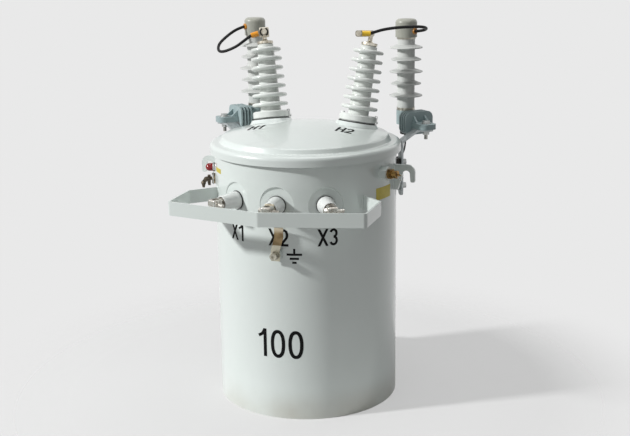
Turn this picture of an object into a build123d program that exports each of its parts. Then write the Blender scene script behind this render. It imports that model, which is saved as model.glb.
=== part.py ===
from build123d import *
from math import acos, cos, pi, radians, sin, sqrt, tan
import os

os.makedirs("parts", exist_ok=True)

# Frame: origin on the tank axis at the base, +Z up, the low-voltage side faces -Y.
# Angles round the tank run from the front towards +X, in degrees.

# Tank shell
TANK_R = 290.0
TANK_H = 824.0
WALL_T = 4.0
RIM_OUT = 8.0
RIM_T = 4.0
FLOOR_RISE = 12.0
FLOOR_T = 5.0
WELD_GAP = 0.1

# Cover with a deep skirt, a ledge, a step and a shallow dome
COVER_OVER = 14.3
COVER_T = 3.0
SKIRT_DROP = 22.0
EDGE_R = 13.0
LEDGE_INSET = 18.0
STEP_W = 7.0
STEP_H = 17.0
DOME_H = 37.0
STEP_ROUND = 8.0
LEDGE_ROUND = 5.0
SEAL_T = 6.0
SEAL_OVER = 1.0

# Core and coils inside the tank
CORE_W = 330.0
CORE_D = 270.0
CORE_H = 430.0
CORE_ROUND = 30.0

# High-voltage bushings: place of the base, lean of the axis, turn of the terminals
HV_INSET = 116.9
HV_ANGLE = 122.5
HV_RISE = 8.6
HV_LEAN_X_SHARE = 0.123
HV_LEAN_Y_SHARE = 0.163
HV_TURN = 18.0
HV_SEAL_T = 3.0
HV_SEAL_IN_R = 30.0
HV_PAD_TOP_R = 65.0
HV_PAD_DRAFT = 8.0
HV_PAD_H = 13.0
HV_BASE_R = 60.0
HV_BASE_H = 24.0
HV_BASE_ROUND = 4.0
HV_CORE_LOW_R = 34.0
HV_CORE_TOP_R = 26.5
HV_SHEDS = 7
HV_SHED_START = 22.0
HV_SHED_PITCH = 29.8
HV_SHED_END = 16.2
HV_SHED_LOW_R = 59.5
HV_SHED_TOP_R = 50.0
HV_SHED_TIP_R = 6.2
HV_SHED_ROOT = 8.6
HV_NECK_R = 22.0
HV_NECK_H = 4.0
HV_CAP_R = 26.0
HV_CAP_T = 8.0
HV_STEM_R = 7.5
HV_STEM_L = 14.0
HV_STEM_FOOT_R = 15.0
HV_STEM_FOOT_H = 6.0
HV_BLOCK_W = 31.0
HV_BLOCK_D = 22.0
HV_BLOCK_H = 31.0
HV_BLOCK_ROUND = 3.0
HV_SCREW_AF = 17.0
HV_SCREW_HEAD = 9.0
HV_SCREW_R = 5.0
HV_SPADE_T = 8.0
HV_SPADE_H = 20.0
HV_SPADE_FROM = -50.0
HV_SPADE_TO = 10.0
HV_SPACER_R = 8.0

# Low-voltage bushings on flat pads pressed into the wall
LV_ANGLES = (-29.7, 0.0, 29.7)
LV_DROP = 141.0
LV_PAD_R = 53.0
LV_PAD_SINK = 6.0
LV_PAD_DRAFT = 4.0
LV_PAD_RIM = 4.0
LV_SEAL_R = 29.0
LV_SEAL_IN_R = 16.0
LV_SEAL_T = 4.0
LV_FOOT_R = 27.6
LV_FOOT_T = 6.0
LV_BODY_R = 26.2
LV_NOSE_R = 22.4
LV_BODY_L = 49.0
LV_NOSE_ROUND = 3.0
LV_GASKET_R = 20.0
LV_GASKET_T = 2.0
LV_NUT_AF = 33.0
LV_NUT_T = 8.0
LV_STEM_R = 9.0
LV_STEM_L = 4.0
LV_BLOCK_W = 32.0
LV_BLOCK_H = 32.0
LV_BLOCK_L = 34.0
LV_BLOCK_ROUND = 5.0
LV_WIRE_R = 10.0
LV_SCREW_AF = 19.0
LV_SCREW_HEAD = 9.0
LV_SCREW_R = 5.5
LV_SCREW_OUT = 20.0

# Bushing guard: a bent flat bar welded to the wall
GUARD_END_ANGLE = 55.0
GUARD_ROOT_SINK = 11.0
GUARD_SIDE_OUT = 14.0
GUARD_TAPER = 3.0
GUARD_LEFT_PAST = 5.0
GUARD_KNEE_BACK = 60.0
GUARD_FRONT_OUT = 95.0
GUARD_TIP_OUT = 161.0
GUARD_T = 6.0
GUARD_BELOW = 25.0
GUARD_ABOVE = 17.0
GUARD_BEND_R = 9.0

# Neutral strap down to the tank ground
STRAP_W = 28.0
STRAP_T = 3.0
STRAP_PAST = 18.0
STRAP_DROP = 24.0
STRAP_SLOPE = 40.0
STRAP_END = 18.0
STRAP_BEND_R = 10.0
STRAP_SWAY = 12.0
STRAP_SWAY_HIGH = 16.0
STRAP_SWAY_LOW = 42.0
STRAP_SWAY_RUN = 50.0
GROUND_DROP = 149.0
GROUND_BOSS_R = 17.0
GROUND_BOSS_L = 15.0
GROUND_AF = 19.0
GROUND_HEAD = 15.0
GROUND_WASHER_R = 13.0
GROUND_WASHER_T = 2.5
GROUND_SHANK_R = 5.0
HOLE_PLAY = 0.3

# Lifting lugs: flat hooks that open downwards
LUG_ANGLE = 90.0
LUG_T = 10.0
LUG_DROP = 58.0
LUG_H = 80.0
LUG_ROOT_W = 14.0
LUG_SLOT_FROM = 29.0
LUG_SLOT_W = 23.0
LUG_SLOT_RISE = 12.0
LUG_CROWN = 18.0
LUG_TIP_W = 16.0
LUG_TIP_LEAN = 2.0
LUG_TIP_H = 55.0
LUG_CORNER_R = 24.0
LUG_TIP_ROUND = 4.0

# Pressure relief valve
PRV_ANGLE = 71.0
PRV_DROP = 67.0
PRV_BOSS_AF = 38.0
PRV_BOSS_TURN = 30.0
PRV_BOSS_L = 26.0
PRV_AF = 28.0
PRV_HEX_L = 13.0
PRV_BODY_R = 12.0
PRV_BODY_L = 17.0
PRV_RING_R = 7.5
PRV_RING_HOLE_R = 4.5
PRV_RING_T = 3.0
PRV_RING_SINK = 1.5

# Arrester straps: flat bars that stand off the cover and carry the hangers
ARM_ANGLE = 118.2
ARM_W = 44.0
ARM_T = 6.0
ARM_CLEAR = 7.7
ARM_RISE = 18.0
ARM_KNEE_DROP = 31.0
ARM_KNEE_OUT = 52.0
ARM_PAST = 22.0
ARM_BEND_R = 10.0
ARM_END_ROUND = 16.0
ARM_BOLT_DROP = 80.0
ARM_BOLT_PITCH = 78.0
ARM_END = 32.0
ARM_BOLT_R = 5.0
ARM_BOLT_AF = 17.0
ARM_BOLT_HEAD = 12.0
ARM_WASHER_R = 11.0
ARM_WASHER_T = 2.0
ARM_PAD_R = 15.0
LEAD_BLOCK = 24.0
LEAD_BLOCK_ROUND = 2.0

# Arresters on moulded hangers
HANG_REACH = 87.0
HANG_SPAN = 124.0
HANG_TURN = 44.9
HANG_TAB_T = 17.5
HANG_TAB_W = 58.0
HANG_TAB_PAST = 27.0
HANG_CUP_R = 31.0
HANG_CUP_H = 47.0
HANG_CUP_UP = 1.0
HANG_ARM_W = 40.0
HANG_ARM_UP = 2.0
HANG_ARM_H = 30.0
HANG_FINS = 4
HANG_FIN_FIRST = 46.0
HANG_FIN_PITCH = 11.5
HANG_FIN_T = 6.0
HANG_FIN_W = 105.0
HANG_FIN_BELOW = 22.5
HANG_FIN_H = 74.0
HANG_FIN_ROUND = 22.0
HANG_RIB_T = 6.0
HANG_RIB_OFF = 21.0
HANG_RIB_L = 28.0
HANG_RIB_H = 24.0
HANG_BOLT_R = 6.0
HANG_HEAD_R = 12.0
HANG_HEAD_T = 7.0
HANG_WASHER_R = 17.0
HANG_WASHER_T = 2.5
HANG_NUT_AF = 19.0
HANG_NUT_T = 12.0
HANG_THREAD_R = 5.4
HANG_THREAD_L = 15.0
COLLAR_R = 30.0
COLLAR_H = 9.0
HOUSING_R = 29.0
ARR_SHEDS = 5
ARR_SHED_START = 39.0
ARR_SHED_PITCH = 39.5
ARR_SHED_END = 28.0
ARR_SHED_BIG_R = 55.0
ARR_SHED_SMALL_R = 50.5
ARR_SHED_TIP_R = 2.0
ARR_SHED_UNDER = 5.0
ARR_SHED_OVER = 10.0
RING_R = 31.0
RING_H = 6.0
CAP_R = 35.5
CAP_H = 59.0
CAP_ROUND = 13.0
DISC_R = 19.0
DISC_H = 35.0
DISC_ROUND = 4.0
DISC_STUD_R = 5.0
DISC_STUD_L = 8.0

# Jumper leads between the bushing terminals and the arrester caps
LEAD_D = 9.6
LUG_BARREL_R = 8.5
LUG_TONGUE_W = 19.0
LUG_TONGUE_T = 3.0
LUG_EYE_R = 4.6
LEFT_LUG_DROOP = 12.0
LEFT_LUG_L = 44.0
LEFT_TONGUE_L = 22.0
RIGHT_LUG_RISE = 9.0
RIGHT_LUG_FROM = -30.0
RIGHT_LUG_TO = -3.0
RIGHT_TONGUE_L = 21.0
CAP_PORT_R = 10.0
CAP_PORT_L = 10.0
CAP_PORT_SINK = 6.0
LEFT_PORT_DROP = 29.0
LEFT_PORT_AIM = (-0.720, -0.695)
RIGHT_PORT_DROP = 39.0
RIGHT_PORT_AIM = (0.891, -0.454)
LEFT_LEAD_MID = (
    (-338.7, 194.9, 1138.2),
    (-360.3, 145.8, 1110.5),
    (-330.6, 108.1, 1088.2),
    (-282.2, 95.5, 1108.8),
)
RIGHT_LEAD_MID = (
    (276.0, 142.0, 1176.0),
    (353.0, 171.0, 1178.0),
)
LEAD_LEAVE = 30.0
LEFT_PORT_LEAVE = 34.0
RIGHT_PORT_LEAVE = 56.0

# Thin ground leads from the disconnectors to the straps
EARTH_D = 5.6
EARTH_DROP = 38.0
EARTH_OUT = 26.0
EARTH_MID_ANGLE = 128.0
EARTH_OVER = 8.0
EARTH_LEAVE = 38.0
FILLET_SHARE = 0.45

# Overload lamp and breaker handle on the left side
LAMP_ANGLE = -70.0
LAMP_DROP = 74.0
LAMP_NUT_R = 14.5
LAMP_NUT_L = 3.0
LAMP_BEZEL_R = 15.5
LAMP_BEZEL_TIP_R = 14.0
LAMP_BEZEL_L = 4.0
LENS_R = 12.6
LENS_L = 10.0
BREAKER_DROP = 37.0
BREAKER_BOSS_R = 17.0
BREAKER_BOSS_L = 10.0
SHAFT_R = 6.0
SHAFT_PLAY = 0.05
SHAFT_TIP = 2.0
HUB_GAP = 5.0
HUB_R = 12.0
HUB_L = 9.0
LEVER_T = 9.0
LEVER_SIDE_OUT = 34.0
LEVER_KNOB_R = 8.0
LEVER_KNOB_OUT = 38.0
LEVER_KNOB_DROP = 14.0
LEVER_TIP_DROP = 29.0
LEVER_TIP_W = 7.0
LEVER_LEG_DROP = 22.0
LEVER_LEG_W = 8.0
LEVER_NECK = 8.0

# Pole support brackets at the back
POLE_FOOT = 109.45
POLE_DROP = 124.0
POLE_W = 112.0
POLE_H = 120.0
POLE_T = 8.0
POLE_STAND = 62.0
POLE_BEND_R = 12.0
POLE_SLOT_W = 22.0
POLE_SLOT_L = 46.0

# Radii from the tank axis
bore_r = TANK_R - WALL_T
rim_r = TANK_R + RIM_OUT
cover_r = TANK_R + COVER_OVER
ledge_r = TANK_R - LEDGE_INSET
step_r = ledge_r - STEP_W
seal_out_r = TANK_R + SEAL_OVER
lv_pad_plane = TANK_R - LV_PAD_SINK
lug_root_r = TANK_R + LUG_ROOT_W
lug_slot_in = TANK_R + LUG_SLOT_FROM
lug_slot_out = lug_slot_in + LUG_SLOT_W
lug_tip_in = lug_slot_out + LUG_TIP_LEAN
lug_out = lug_slot_out + LUG_TIP_W
arm_in = cover_r + ARM_CLEAR
arm_knee_r = arm_in + ARM_KNEE_OUT
hang_r = arm_in + HANG_REACH
arm_out = hang_r + ARM_PAST
earth_mid_r = arm_in + EARTH_OUT
pole_face_y = TANK_R + POLE_STAND

# Heights over the base
ledge_z = TANK_H + SEAL_T + COVER_T
skirt_z = TANK_H - SKIRT_DROP
step_z = ledge_z + STEP_H
dome_z = step_z + DOME_H
lv_z = TANK_H - LV_DROP
guard_low = lv_z - GUARD_BELOW
guard_high = lv_z + GUARD_ABOVE
strap_top_z = lv_z + STRAP_PAST
strap_knee_high = lv_z - STRAP_DROP
strap_knee_low = strap_knee_high - STRAP_SLOPE
ground_z = lv_z - GROUND_DROP
strap_end_z = ground_z - STRAP_END
lug_top = TANK_H - LUG_DROP
lug_root_z = lug_top - LUG_H
lug_slot_top_z = lug_top - LUG_CROWN
lug_slot_side_z = lug_slot_top_z - LUG_SLOT_RISE
lug_tip_z = lug_top - LUG_TIP_H
prv_z = TANK_H - PRV_DROP
arm_tab_z = TANK_H + ARM_RISE
arm_knee_z = arm_tab_z - ARM_KNEE_DROP
arm_bolt_high = TANK_H - ARM_BOLT_DROP
arm_bolt_low = arm_bolt_high - ARM_BOLT_PITCH
arm_low = arm_bolt_low - ARM_END
tab_low = arm_tab_z + ARM_T
hang_tab_top = tab_low + HANG_TAB_T
hang_cup_low = tab_low + HANG_CUP_UP
hang_cup_top = hang_cup_low + HANG_CUP_H
hang_arm_low = hang_cup_low + HANG_ARM_UP
hang_arm_top = hang_arm_low + HANG_ARM_H
hang_fin_low = tab_low - HANG_FIN_BELOW
hang_fin_top = hang_fin_low + HANG_FIN_H
collar_top = hang_cup_top + COLLAR_H
arr_shed_first = collar_top + ARR_SHED_START
housing_top = arr_shed_first + ARR_SHED_PITCH * (ARR_SHEDS - 1) + ARR_SHED_END
ring_top = housing_top + RING_H
cap_top = ring_top + CAP_H
disc_low = hang_cup_low - DISC_H
lamp_z = TANK_H - LAMP_DROP
breaker_z = lamp_z - BREAKER_DROP
earth_mid_z = arm_bolt_high + EARTH_OVER
pole_top_z = TANK_H - POLE_DROP

LOW = (Align.CENTER, Align.CENTER, Align.MIN)


def unit(v):
    size = sqrt(sum(c * c for c in v))
    return tuple(c / size for c in v)


def polar(r, deg, z):
    a = radians(deg)
    return (r * sin(a), -r * cos(a), z)


# A plane on the tank: x runs sideways, y upwards and z straight out of the wall.
def wall_plane(deg, z):
    a = radians(deg)
    return Plane(origin=(0, 0, z), x_dir=(cos(a), sin(a), 0), z_dir=(sin(a), -cos(a), 0))


# A plane that holds radius and height: x runs outwards, y upwards.
def radial_plane(deg):
    a = radians(deg)
    return Plane(origin=(0, 0, 0), x_dir=(sin(a), -cos(a), 0), z_dir=(-cos(a), -sin(a), 0))


def post(radius, low, high):
    return Pos(0, 0, low) * Cylinder(radius, high - low, align=LOW)


def cone(low_r, high_r, low, high):
    return Pos(0, 0, low) * Cone(low_r, high_r, high - low, align=LOW)


def hexagon(across, low, high):
    return Pos(0, 0, low) * extrude(RegularPolygon(across / 2, 6, major_radius=False), high - low)


def slab(x0, x1, y0, y1, z0, z1):
    middle = Pos((x0 + x1) / 2, (y0 + y1) / 2, (z0 + z1) / 2)
    return middle * Box(x1 - x0, y1 - y0, z1 - z0)


def spin(edges):
    return revolve(Plane.XZ * make_face(edges), Axis.Z)


def save(shape, name):
    export_step(shape, "parts/" + name + ".step")


def mirrored(shape):
    return mirror(shape, about=Plane.YZ)


# A stack of sheds on a tapering core, as edges of a half profile from the axis.
def shed_edges(low, high, core_low, core_high, heights, reach, tip, under, over):
    def core(z):
        return core_low + (core_high - core_low) * (z - low) / (high - low)

    edges = []
    last = (core_low, low)
    for z, r in zip(heights, reach):
        foot = (core(z - under), z - under)
        head = (core(z + over), z + over)
        edges.append(Line(last, foot))
        edges.append(Line(foot, (r - tip, z - tip)))
        edges.append(ThreePointArc((r - tip, z - tip), (r, z), (r - tip, z + tip)))
        edges.append(Line((r - tip, z + tip), head))
        last = head
    edges.append(Line(last, (core_high, high)))
    return edges


# A lead of round section along straight runs joined by tangent bends.
def lead(points, diameter, name):
    pts = [Vector(*p) for p in points]
    bends = []
    for a, b, c in zip(pts, pts[1:], pts[2:]):
        turn = acos(max(-1, min(1, (b - a).normalized().dot((c - b).normalized()))))
        bends.append(FILLET_SHARE * min((b - a).length, (c - b).length) / tan(turn / 2))
    path = FilletPolyline(*pts, radius=bends)
    section = Plane(origin=path @ 0, z_dir=path % 0) * Circle(diameter / 2)
    tube = sweep(section, path=path)
    runs = [round((b - a).length, 1) for a, b in zip(pts, pts[1:])]
    ideal = pi * diameter * diameter / 4 * path.length
    print(name, "length", round(path.length, 1), "runs", runs, "bends", [round(r, 1) for r in bends],
          "volume share", round(tube.volume / ideal, 4))
    return tube


# Tank wall: a rolled shell with a flat rim, pressed pads, a valve boss and a ground boss
wall = post(TANK_R, 0, TANK_H) + post(rim_r, TANK_H - RIM_T, TANK_H)
wall = wall - post(bore_r, 0, TANK_H)
for angle in LV_ANGLES:
    plate = wall_plane(angle, lv_z) * post(LV_PAD_R + LV_PAD_RIM, lv_pad_plane - WALL_T, TANK_R)
    wall = wall + (plate & post(TANK_R, 0, TANK_H))
for angle in LV_ANGLES:
    press = cone(LV_PAD_R, LV_PAD_R + LV_PAD_DRAFT, lv_pad_plane, lv_pad_plane + LV_PAD_DRAFT + LV_PAD_RIM)
    wall = wall - wall_plane(angle, lv_z) * press
keep_out = post(TANK_R - WALL_T / 2, 0, TANK_H)
ground_seat = TANK_R + GROUND_BOSS_L
prv_seat = TANK_R + PRV_BOSS_L
wall = wall + (wall_plane(0, ground_z) * post(GROUND_BOSS_R, bore_r, ground_seat) - keep_out)
prv_boss = Rot(0, 0, PRV_BOSS_TURN) * hexagon(PRV_BOSS_AF, bore_r, prv_seat)
wall = wall + (wall_plane(PRV_ANGLE, prv_z) * prv_boss - keep_out)
save(wall, "tank_wall")

# Tank floor: a plate welded a little above the lower edge of the wall
floor = post(bore_r - WELD_GAP, FLOOR_RISE, FLOOR_RISE + FLOOR_T)
save(floor, "tank_floor")

# Core and coils in a block that stands on the floor
core = slab(-CORE_W / 2, CORE_W / 2, -CORE_D / 2, CORE_D / 2, 0, CORE_H)
core = fillet(core.edges().filter_by(Axis.Z), CORE_ROUND)
save(Pos(0, 0, FLOOR_RISE + FLOOR_T) * core, "core_and_coils")

# Cover: one pressed sheet with raised pads for the high-voltage bushings
rise = dome_z - step_z
dome_r = (step_r * step_r + rise * rise) / (2 * rise)
dome_c = dome_z - dome_r
skin_r = dome_r - COVER_T
step_in = step_r - COVER_T / 3


def on_dome(r, radius):
    return (r, dome_c + sqrt(radius * radius - r * r))


edge_in = cover_r - EDGE_R
skirt_top = ledge_z - EDGE_R
bend = EDGE_R * sqrt(2) / 2
bend_in = (EDGE_R - COVER_T) * sqrt(2) / 2
ledge_in = ledge_r - COVER_T / 3
sheet = make_face([
    ThreePointArc((0, dome_z), on_dome(step_r / 2, dome_r), (step_r, step_z)),
    Line((step_r, step_z), (ledge_r, ledge_z)),
    Line((ledge_r, ledge_z), (edge_in, ledge_z)),
    ThreePointArc((edge_in, ledge_z), (edge_in + bend, skirt_top + bend), (cover_r, skirt_top)),
    Line((cover_r, skirt_top), (cover_r, skirt_z)),
    Line((cover_r, skirt_z), (cover_r - COVER_T, skirt_z)),
    Line((cover_r - COVER_T, skirt_z), (cover_r - COVER_T, skirt_top)),
    ThreePointArc((cover_r - COVER_T, skirt_top), (edge_in + bend_in, skirt_top + bend_in),
                  (edge_in, ledge_z - COVER_T)),
    Line((edge_in, ledge_z - COVER_T), (ledge_in, ledge_z - COVER_T)),
    Line((ledge_in, ledge_z - COVER_T), on_dome(step_in, skin_r)),
    ThreePointArc(on_dome(step_in, skin_r), on_dome(step_in / 2, skin_r), (0, dome_z - COVER_T)),
    Line((0, dome_z - COVER_T), (0, dome_z)),
])
sheet = fillet(sheet.vertices().sort_by_distance((step_r, step_z, 0))[0], STEP_ROUND)
sheet = fillet(sheet.vertices().sort_by_distance((ledge_r, ledge_z, 0))[0], LEDGE_ROUND)
cover = revolve(Plane.XZ * sheet, Axis.Z)

hv_r = TANK_R - HV_INSET
hv_x, hv_y, hv_z = polar(hv_r, HV_ANGLE, on_dome(hv_r, dome_r)[1] + HV_RISE)
hv_pad_low_r = HV_PAD_TOP_R + HV_PAD_DRAFT
lean_up = sqrt(1 - HV_LEAN_X_SHARE * HV_LEAN_X_SHARE - HV_LEAN_Y_SHARE * HV_LEAN_Y_SHARE)
turn = radians(HV_TURN)
hv_planes = {}
for side, sign in (("left", -1), ("right", 1)):
    hv_planes[side] = Plane(
        origin=(sign * hv_x, hv_y, hv_z),
        x_dir=(cos(turn), sin(turn), 0),
        z_dir=(sign * HV_LEAN_X_SHARE, HV_LEAN_Y_SHARE, lean_up),
    )
    pad = cone(hv_pad_low_r, HV_PAD_TOP_R, -HV_SEAL_T - HV_PAD_H, -HV_SEAL_T)
    cover = cover + hv_planes[side] * pad
save(cover, "cover")

# Cover seal on the rim
seal = post(seal_out_r, TANK_H, ledge_z - COVER_T) - post(bore_r, TANK_H, ledge_z - COVER_T)
save(seal, "cover_seal")

# High-voltage bushings, their seals and their terminals
hv_shed_first = HV_BASE_H + HV_SHED_START
hv_body_top = hv_shed_first + HV_SHED_PITCH * (HV_SHEDS - 1) + HV_SHED_END
hv_neck_top = hv_body_top + HV_NECK_H
hv_cap_top = hv_neck_top + HV_CAP_T
hv_block_low = hv_cap_top + HV_STEM_L
heights = [hv_shed_first + HV_SHED_PITCH * i for i in range(HV_SHEDS)]
reach = [HV_SHED_LOW_R + (HV_SHED_TOP_R - HV_SHED_LOW_R) * i / (HV_SHEDS - 1) for i in range(HV_SHEDS)]
porcelain = spin([
    Line((0, 0), (HV_BASE_R - HV_BASE_ROUND, 0)),
    Line((HV_BASE_R - HV_BASE_ROUND, 0), (HV_BASE_R, HV_BASE_ROUND)),
    Line((HV_BASE_R, HV_BASE_ROUND), (HV_BASE_R, HV_BASE_H - HV_BASE_ROUND)),
    Line((HV_BASE_R, HV_BASE_H - HV_BASE_ROUND), (HV_BASE_R - HV_BASE_ROUND, HV_BASE_H)),
    Line((HV_BASE_R - HV_BASE_ROUND, HV_BASE_H), (HV_CORE_LOW_R, HV_BASE_H)),
    *shed_edges(HV_BASE_H, hv_body_top, HV_CORE_LOW_R, HV_CORE_TOP_R, heights, reach,
                HV_SHED_TIP_R, HV_SHED_ROOT, HV_SHED_ROOT),
    Line((HV_CORE_TOP_R, hv_body_top), (HV_NECK_R, hv_neck_top)),
    Line((HV_NECK_R, hv_neck_top), (0, hv_neck_top)),
    Line((0, hv_neck_top), (0, 0)),
])
hv_seal = post(HV_BASE_R, -HV_SEAL_T, 0) - post(HV_SEAL_IN_R, -HV_SEAL_T, 0)
block_top = hv_block_low + HV_BLOCK_H
block_mid = hv_block_low + HV_BLOCK_H / 2
block = slab(-HV_BLOCK_W / 2, HV_BLOCK_W / 2, -HV_BLOCK_D / 2, HV_BLOCK_D / 2, hv_block_low, block_top)
block = fillet(block.edges(), HV_BLOCK_ROUND)
holder = post(HV_CAP_R, hv_neck_top, hv_cap_top) + post(HV_STEM_R, hv_cap_top, block_mid)
holder = holder + cone(HV_STEM_FOOT_R, HV_STEM_R, hv_cap_top, hv_cap_top + HV_STEM_FOOT_H)
front = Plane(origin=(0, -HV_BLOCK_D / 2, block_mid), x_dir=(1, 0, 0), z_dir=(0, -1, 0))
front_screw = post(HV_SCREW_R, -HV_BLOCK_ROUND, LUG_TONGUE_T)
front_screw = front_screw + hexagon(HV_SCREW_AF, LUG_TONGUE_T, LUG_TONGUE_T + HV_SCREW_HEAD)
spade_y = -HV_BLOCK_D / 2
spade = slab(HV_SPADE_FROM, HV_SPADE_TO, spade_y, spade_y + HV_SPADE_T, block_mid - HV_SPADE_H / 2,
             block_mid + HV_SPADE_H / 2)
spade = fillet(spade.edges().filter_by(Axis.Y), HV_SPADE_H / 3)
for side in hv_planes:
    save(hv_planes[side] * porcelain, "hv_bushing_" + side)
save(Compound([hv_planes["left"] * hv_seal, hv_planes["right"] * hv_seal]), "hv_seals")
save(hv_planes["left"] * (holder + block + front * front_screw), "hv_terminal_left")

# Low-voltage bushings, their seals and their clamp terminals
lv_seat = lv_pad_plane + LV_SEAL_T
lv_nose = lv_seat + LV_BODY_L
lv_body = spin([
    Line((0, lv_seat), (LV_FOOT_R, lv_seat)),
    Line((LV_FOOT_R, lv_seat), (LV_FOOT_R, lv_seat + LV_FOOT_T)),
    Line((LV_FOOT_R, lv_seat + LV_FOOT_T), (LV_BODY_R, lv_seat + 2 * LV_FOOT_T)),
    Line((LV_BODY_R, lv_seat + 2 * LV_FOOT_T), (LV_NOSE_R, lv_nose - LV_NOSE_ROUND)),
    Line((LV_NOSE_R, lv_nose - LV_NOSE_ROUND), (LV_NOSE_R - LV_NOSE_ROUND, lv_nose)),
    Line((LV_NOSE_R - LV_NOSE_ROUND, lv_nose), (0, lv_nose)),
    Line((0, lv_nose), (0, lv_seat)),
])
lv_seal = post(LV_SEAL_R, lv_pad_plane, lv_seat) - post(LV_SEAL_IN_R, lv_pad_plane, lv_seat)
nut_low = lv_nose + LV_GASKET_T
nut_end = nut_low + LV_NUT_T
lv_gasket = post(LV_GASKET_R, lv_nose, nut_low)
clamp_low = nut_end + LV_STEM_L
clamp_mid = clamp_low + LV_BLOCK_L / 2
clamp = slab(-LV_BLOCK_W / 2, LV_BLOCK_W / 2, -LV_BLOCK_H / 2, LV_BLOCK_H / 2,
             clamp_low, clamp_low + LV_BLOCK_L)
clamp = fillet(clamp.edges(), LV_BLOCK_ROUND)
clamp = clamp - Pos(0, 0, clamp_mid) * Rot(90, 0, 0) * Cylinder(LV_WIRE_R, 2 * LV_BLOCK_H)
across = Plane(origin=(0, 0, clamp_mid), x_dir=(0, 1, 0), z_dir=(1, 0, 0))
lv_screw = post(LV_SCREW_R, LV_WIRE_R, LV_BLOCK_W / 2 + LV_SCREW_OUT)
lv_head = hexagon(LV_SCREW_AF, -LV_BLOCK_W / 2 - LV_SCREW_HEAD, -LV_BLOCK_W / 2)
lv_clamp = hexagon(LV_NUT_AF, nut_low, nut_end) + post(LV_STEM_R, nut_end, clamp_low + LV_BLOCK_ROUND)
lv_clamp = lv_clamp + clamp + across * lv_screw + across * lv_head
for number, angle in enumerate(LV_ANGLES, 1):
    save(wall_plane(angle, lv_z) * lv_body, "lv_bushing_x" + str(number))
    save(wall_plane(angle, lv_z) * lv_clamp, "lv_terminal_x" + str(number))
rubber = [wall_plane(angle, lv_z) * ring for angle in LV_ANGLES for ring in (lv_seal, lv_gasket)]
save(Compound(rubber), "lv_seals")

# Bushing guard, bent from flat bar
root = polar(TANK_R - GUARD_ROOT_SINK, GUARD_END_ANGLE, 0)
side_x = TANK_R + GUARD_SIDE_OUT
half = [
    (root[0], root[1]),
    (side_x, GUARD_KNEE_BACK - TANK_R),
    (side_x - GUARD_TAPER, -TANK_R - GUARD_FRONT_OUT),
]
points = half + [(0, -TANK_R - GUARD_TIP_OUT)] + [(-x - GUARD_LEFT_PAST, y) for x, y in reversed(half)]
bar = FilletPolyline(*points, radius=GUARD_BEND_R)
bar = Pos(0, 0, (guard_low + guard_high) / 2) * bar
flat = Rectangle(guard_high - guard_low, GUARD_T)
legs = []
for run in bar.edges():
    section = Plane(origin=run @ 0, x_dir=(0, 0, 1), z_dir=run % 0) * flat
    legs.append(sweep(section, path=run) - post(TANK_R + WELD_GAP, 0, TANK_H))
save(Compound(legs), "bushing_guard")

# Neutral strap from the middle terminal to the ground boss
strap_top = nut_end + STRAP_T / 2
strap_low = ground_seat + STRAP_T / 2
strap_path = FilletPolyline(
    (0, -strap_top, strap_top_z),
    (0, -strap_top, strap_knee_high),
    (0, -strap_low, strap_knee_low),
    (0, -strap_low, strap_end_z),
    radius=STRAP_BEND_R,
)
wide = STRAP_W + 2 * STRAP_SWAY
section = Plane(origin=strap_path @ 0, x_dir=(1, 0, 0), z_dir=strap_path % 0) * Rectangle(2 * wide, STRAP_T)
strap = sweep(section, path=strap_path)
sway_high = lv_z - STRAP_SWAY_HIGH
sway_from = lv_z - STRAP_SWAY_LOW
sway_to = sway_from - STRAP_SWAY_RUN
line = [(0, strap_top_z), (0, sway_high), (STRAP_SWAY, sway_from), (STRAP_SWAY, sway_to),
        (0, ground_z + STRAP_W / 2), (0, strap_end_z)]
half_strap = STRAP_W / 2
outline = [(x - half_strap, z) for x, z in line] + [(x + half_strap, z) for x, z in reversed(line)]
outline = make_face(Polyline(*outline, close=True))
strap = strap & extrude(Plane.XZ * outline, 2 * TANK_R)
strap = strap - wall_plane(0, lv_z) * post(LV_STEM_R + HOLE_PLAY, nut_end - STRAP_T, nut_end + 2 * STRAP_T)
hole_r = GROUND_SHANK_R + HOLE_PLAY
strap = strap - wall_plane(0, ground_z) * post(hole_r, ground_seat - STRAP_T, ground_seat + 2 * STRAP_T)
save(strap, "neutral_strap")
washer_low = ground_seat + STRAP_T
head_low = washer_low + GROUND_WASHER_T
bolt = post(GROUND_SHANK_R, ground_seat, head_low) + post(GROUND_WASHER_R, washer_low, head_low)
bolt = bolt + hexagon(GROUND_AF, head_low, head_low + GROUND_HEAD)
save(wall_plane(0, ground_z) * bolt, "ground_bolt")

# Lifting lugs cut from plate
slot_mid = (lug_slot_in + lug_slot_out) / 2
hook = make_face([
    Line((TANK_R - WALL_T, lug_root_z), (lug_root_r, lug_root_z)),
    Line((lug_root_r, lug_root_z), (lug_slot_in, lug_slot_side_z)),
    ThreePointArc((lug_slot_in, lug_slot_side_z), (slot_mid, lug_slot_top_z),
                  (lug_slot_out, lug_slot_side_z)),
    Line((lug_slot_out, lug_slot_side_z), (lug_tip_in, lug_tip_z)),
    Line((lug_tip_in, lug_tip_z), (lug_out, lug_tip_z)),
    Line((lug_out, lug_tip_z), (lug_out, lug_top)),
    Line((lug_out, lug_top), (TANK_R - WALL_T, lug_top)),
    Line((TANK_R - WALL_T, lug_top), (TANK_R - WALL_T, lug_root_z)),
])
hook = fillet(hook.vertices().sort_by_distance((lug_out, lug_top, 0))[0], LUG_CORNER_R)
hook = fillet(hook.vertices().sort_by_distance((lug_out, lug_tip_z, 0))[0], LUG_TIP_ROUND)
hook = fillet(hook.vertices().sort_by_distance((lug_tip_in, lug_tip_z, 0))[0], LUG_TIP_ROUND)
plate = extrude(radial_plane(LUG_ANGLE) * hook, LUG_T / 2, both=True)
plate = plate - post(TANK_R + WELD_GAP, 0, TANK_H)
save(plate, "lifting_lug_right")
save(mirrored(plate), "lifting_lug_left")

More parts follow.
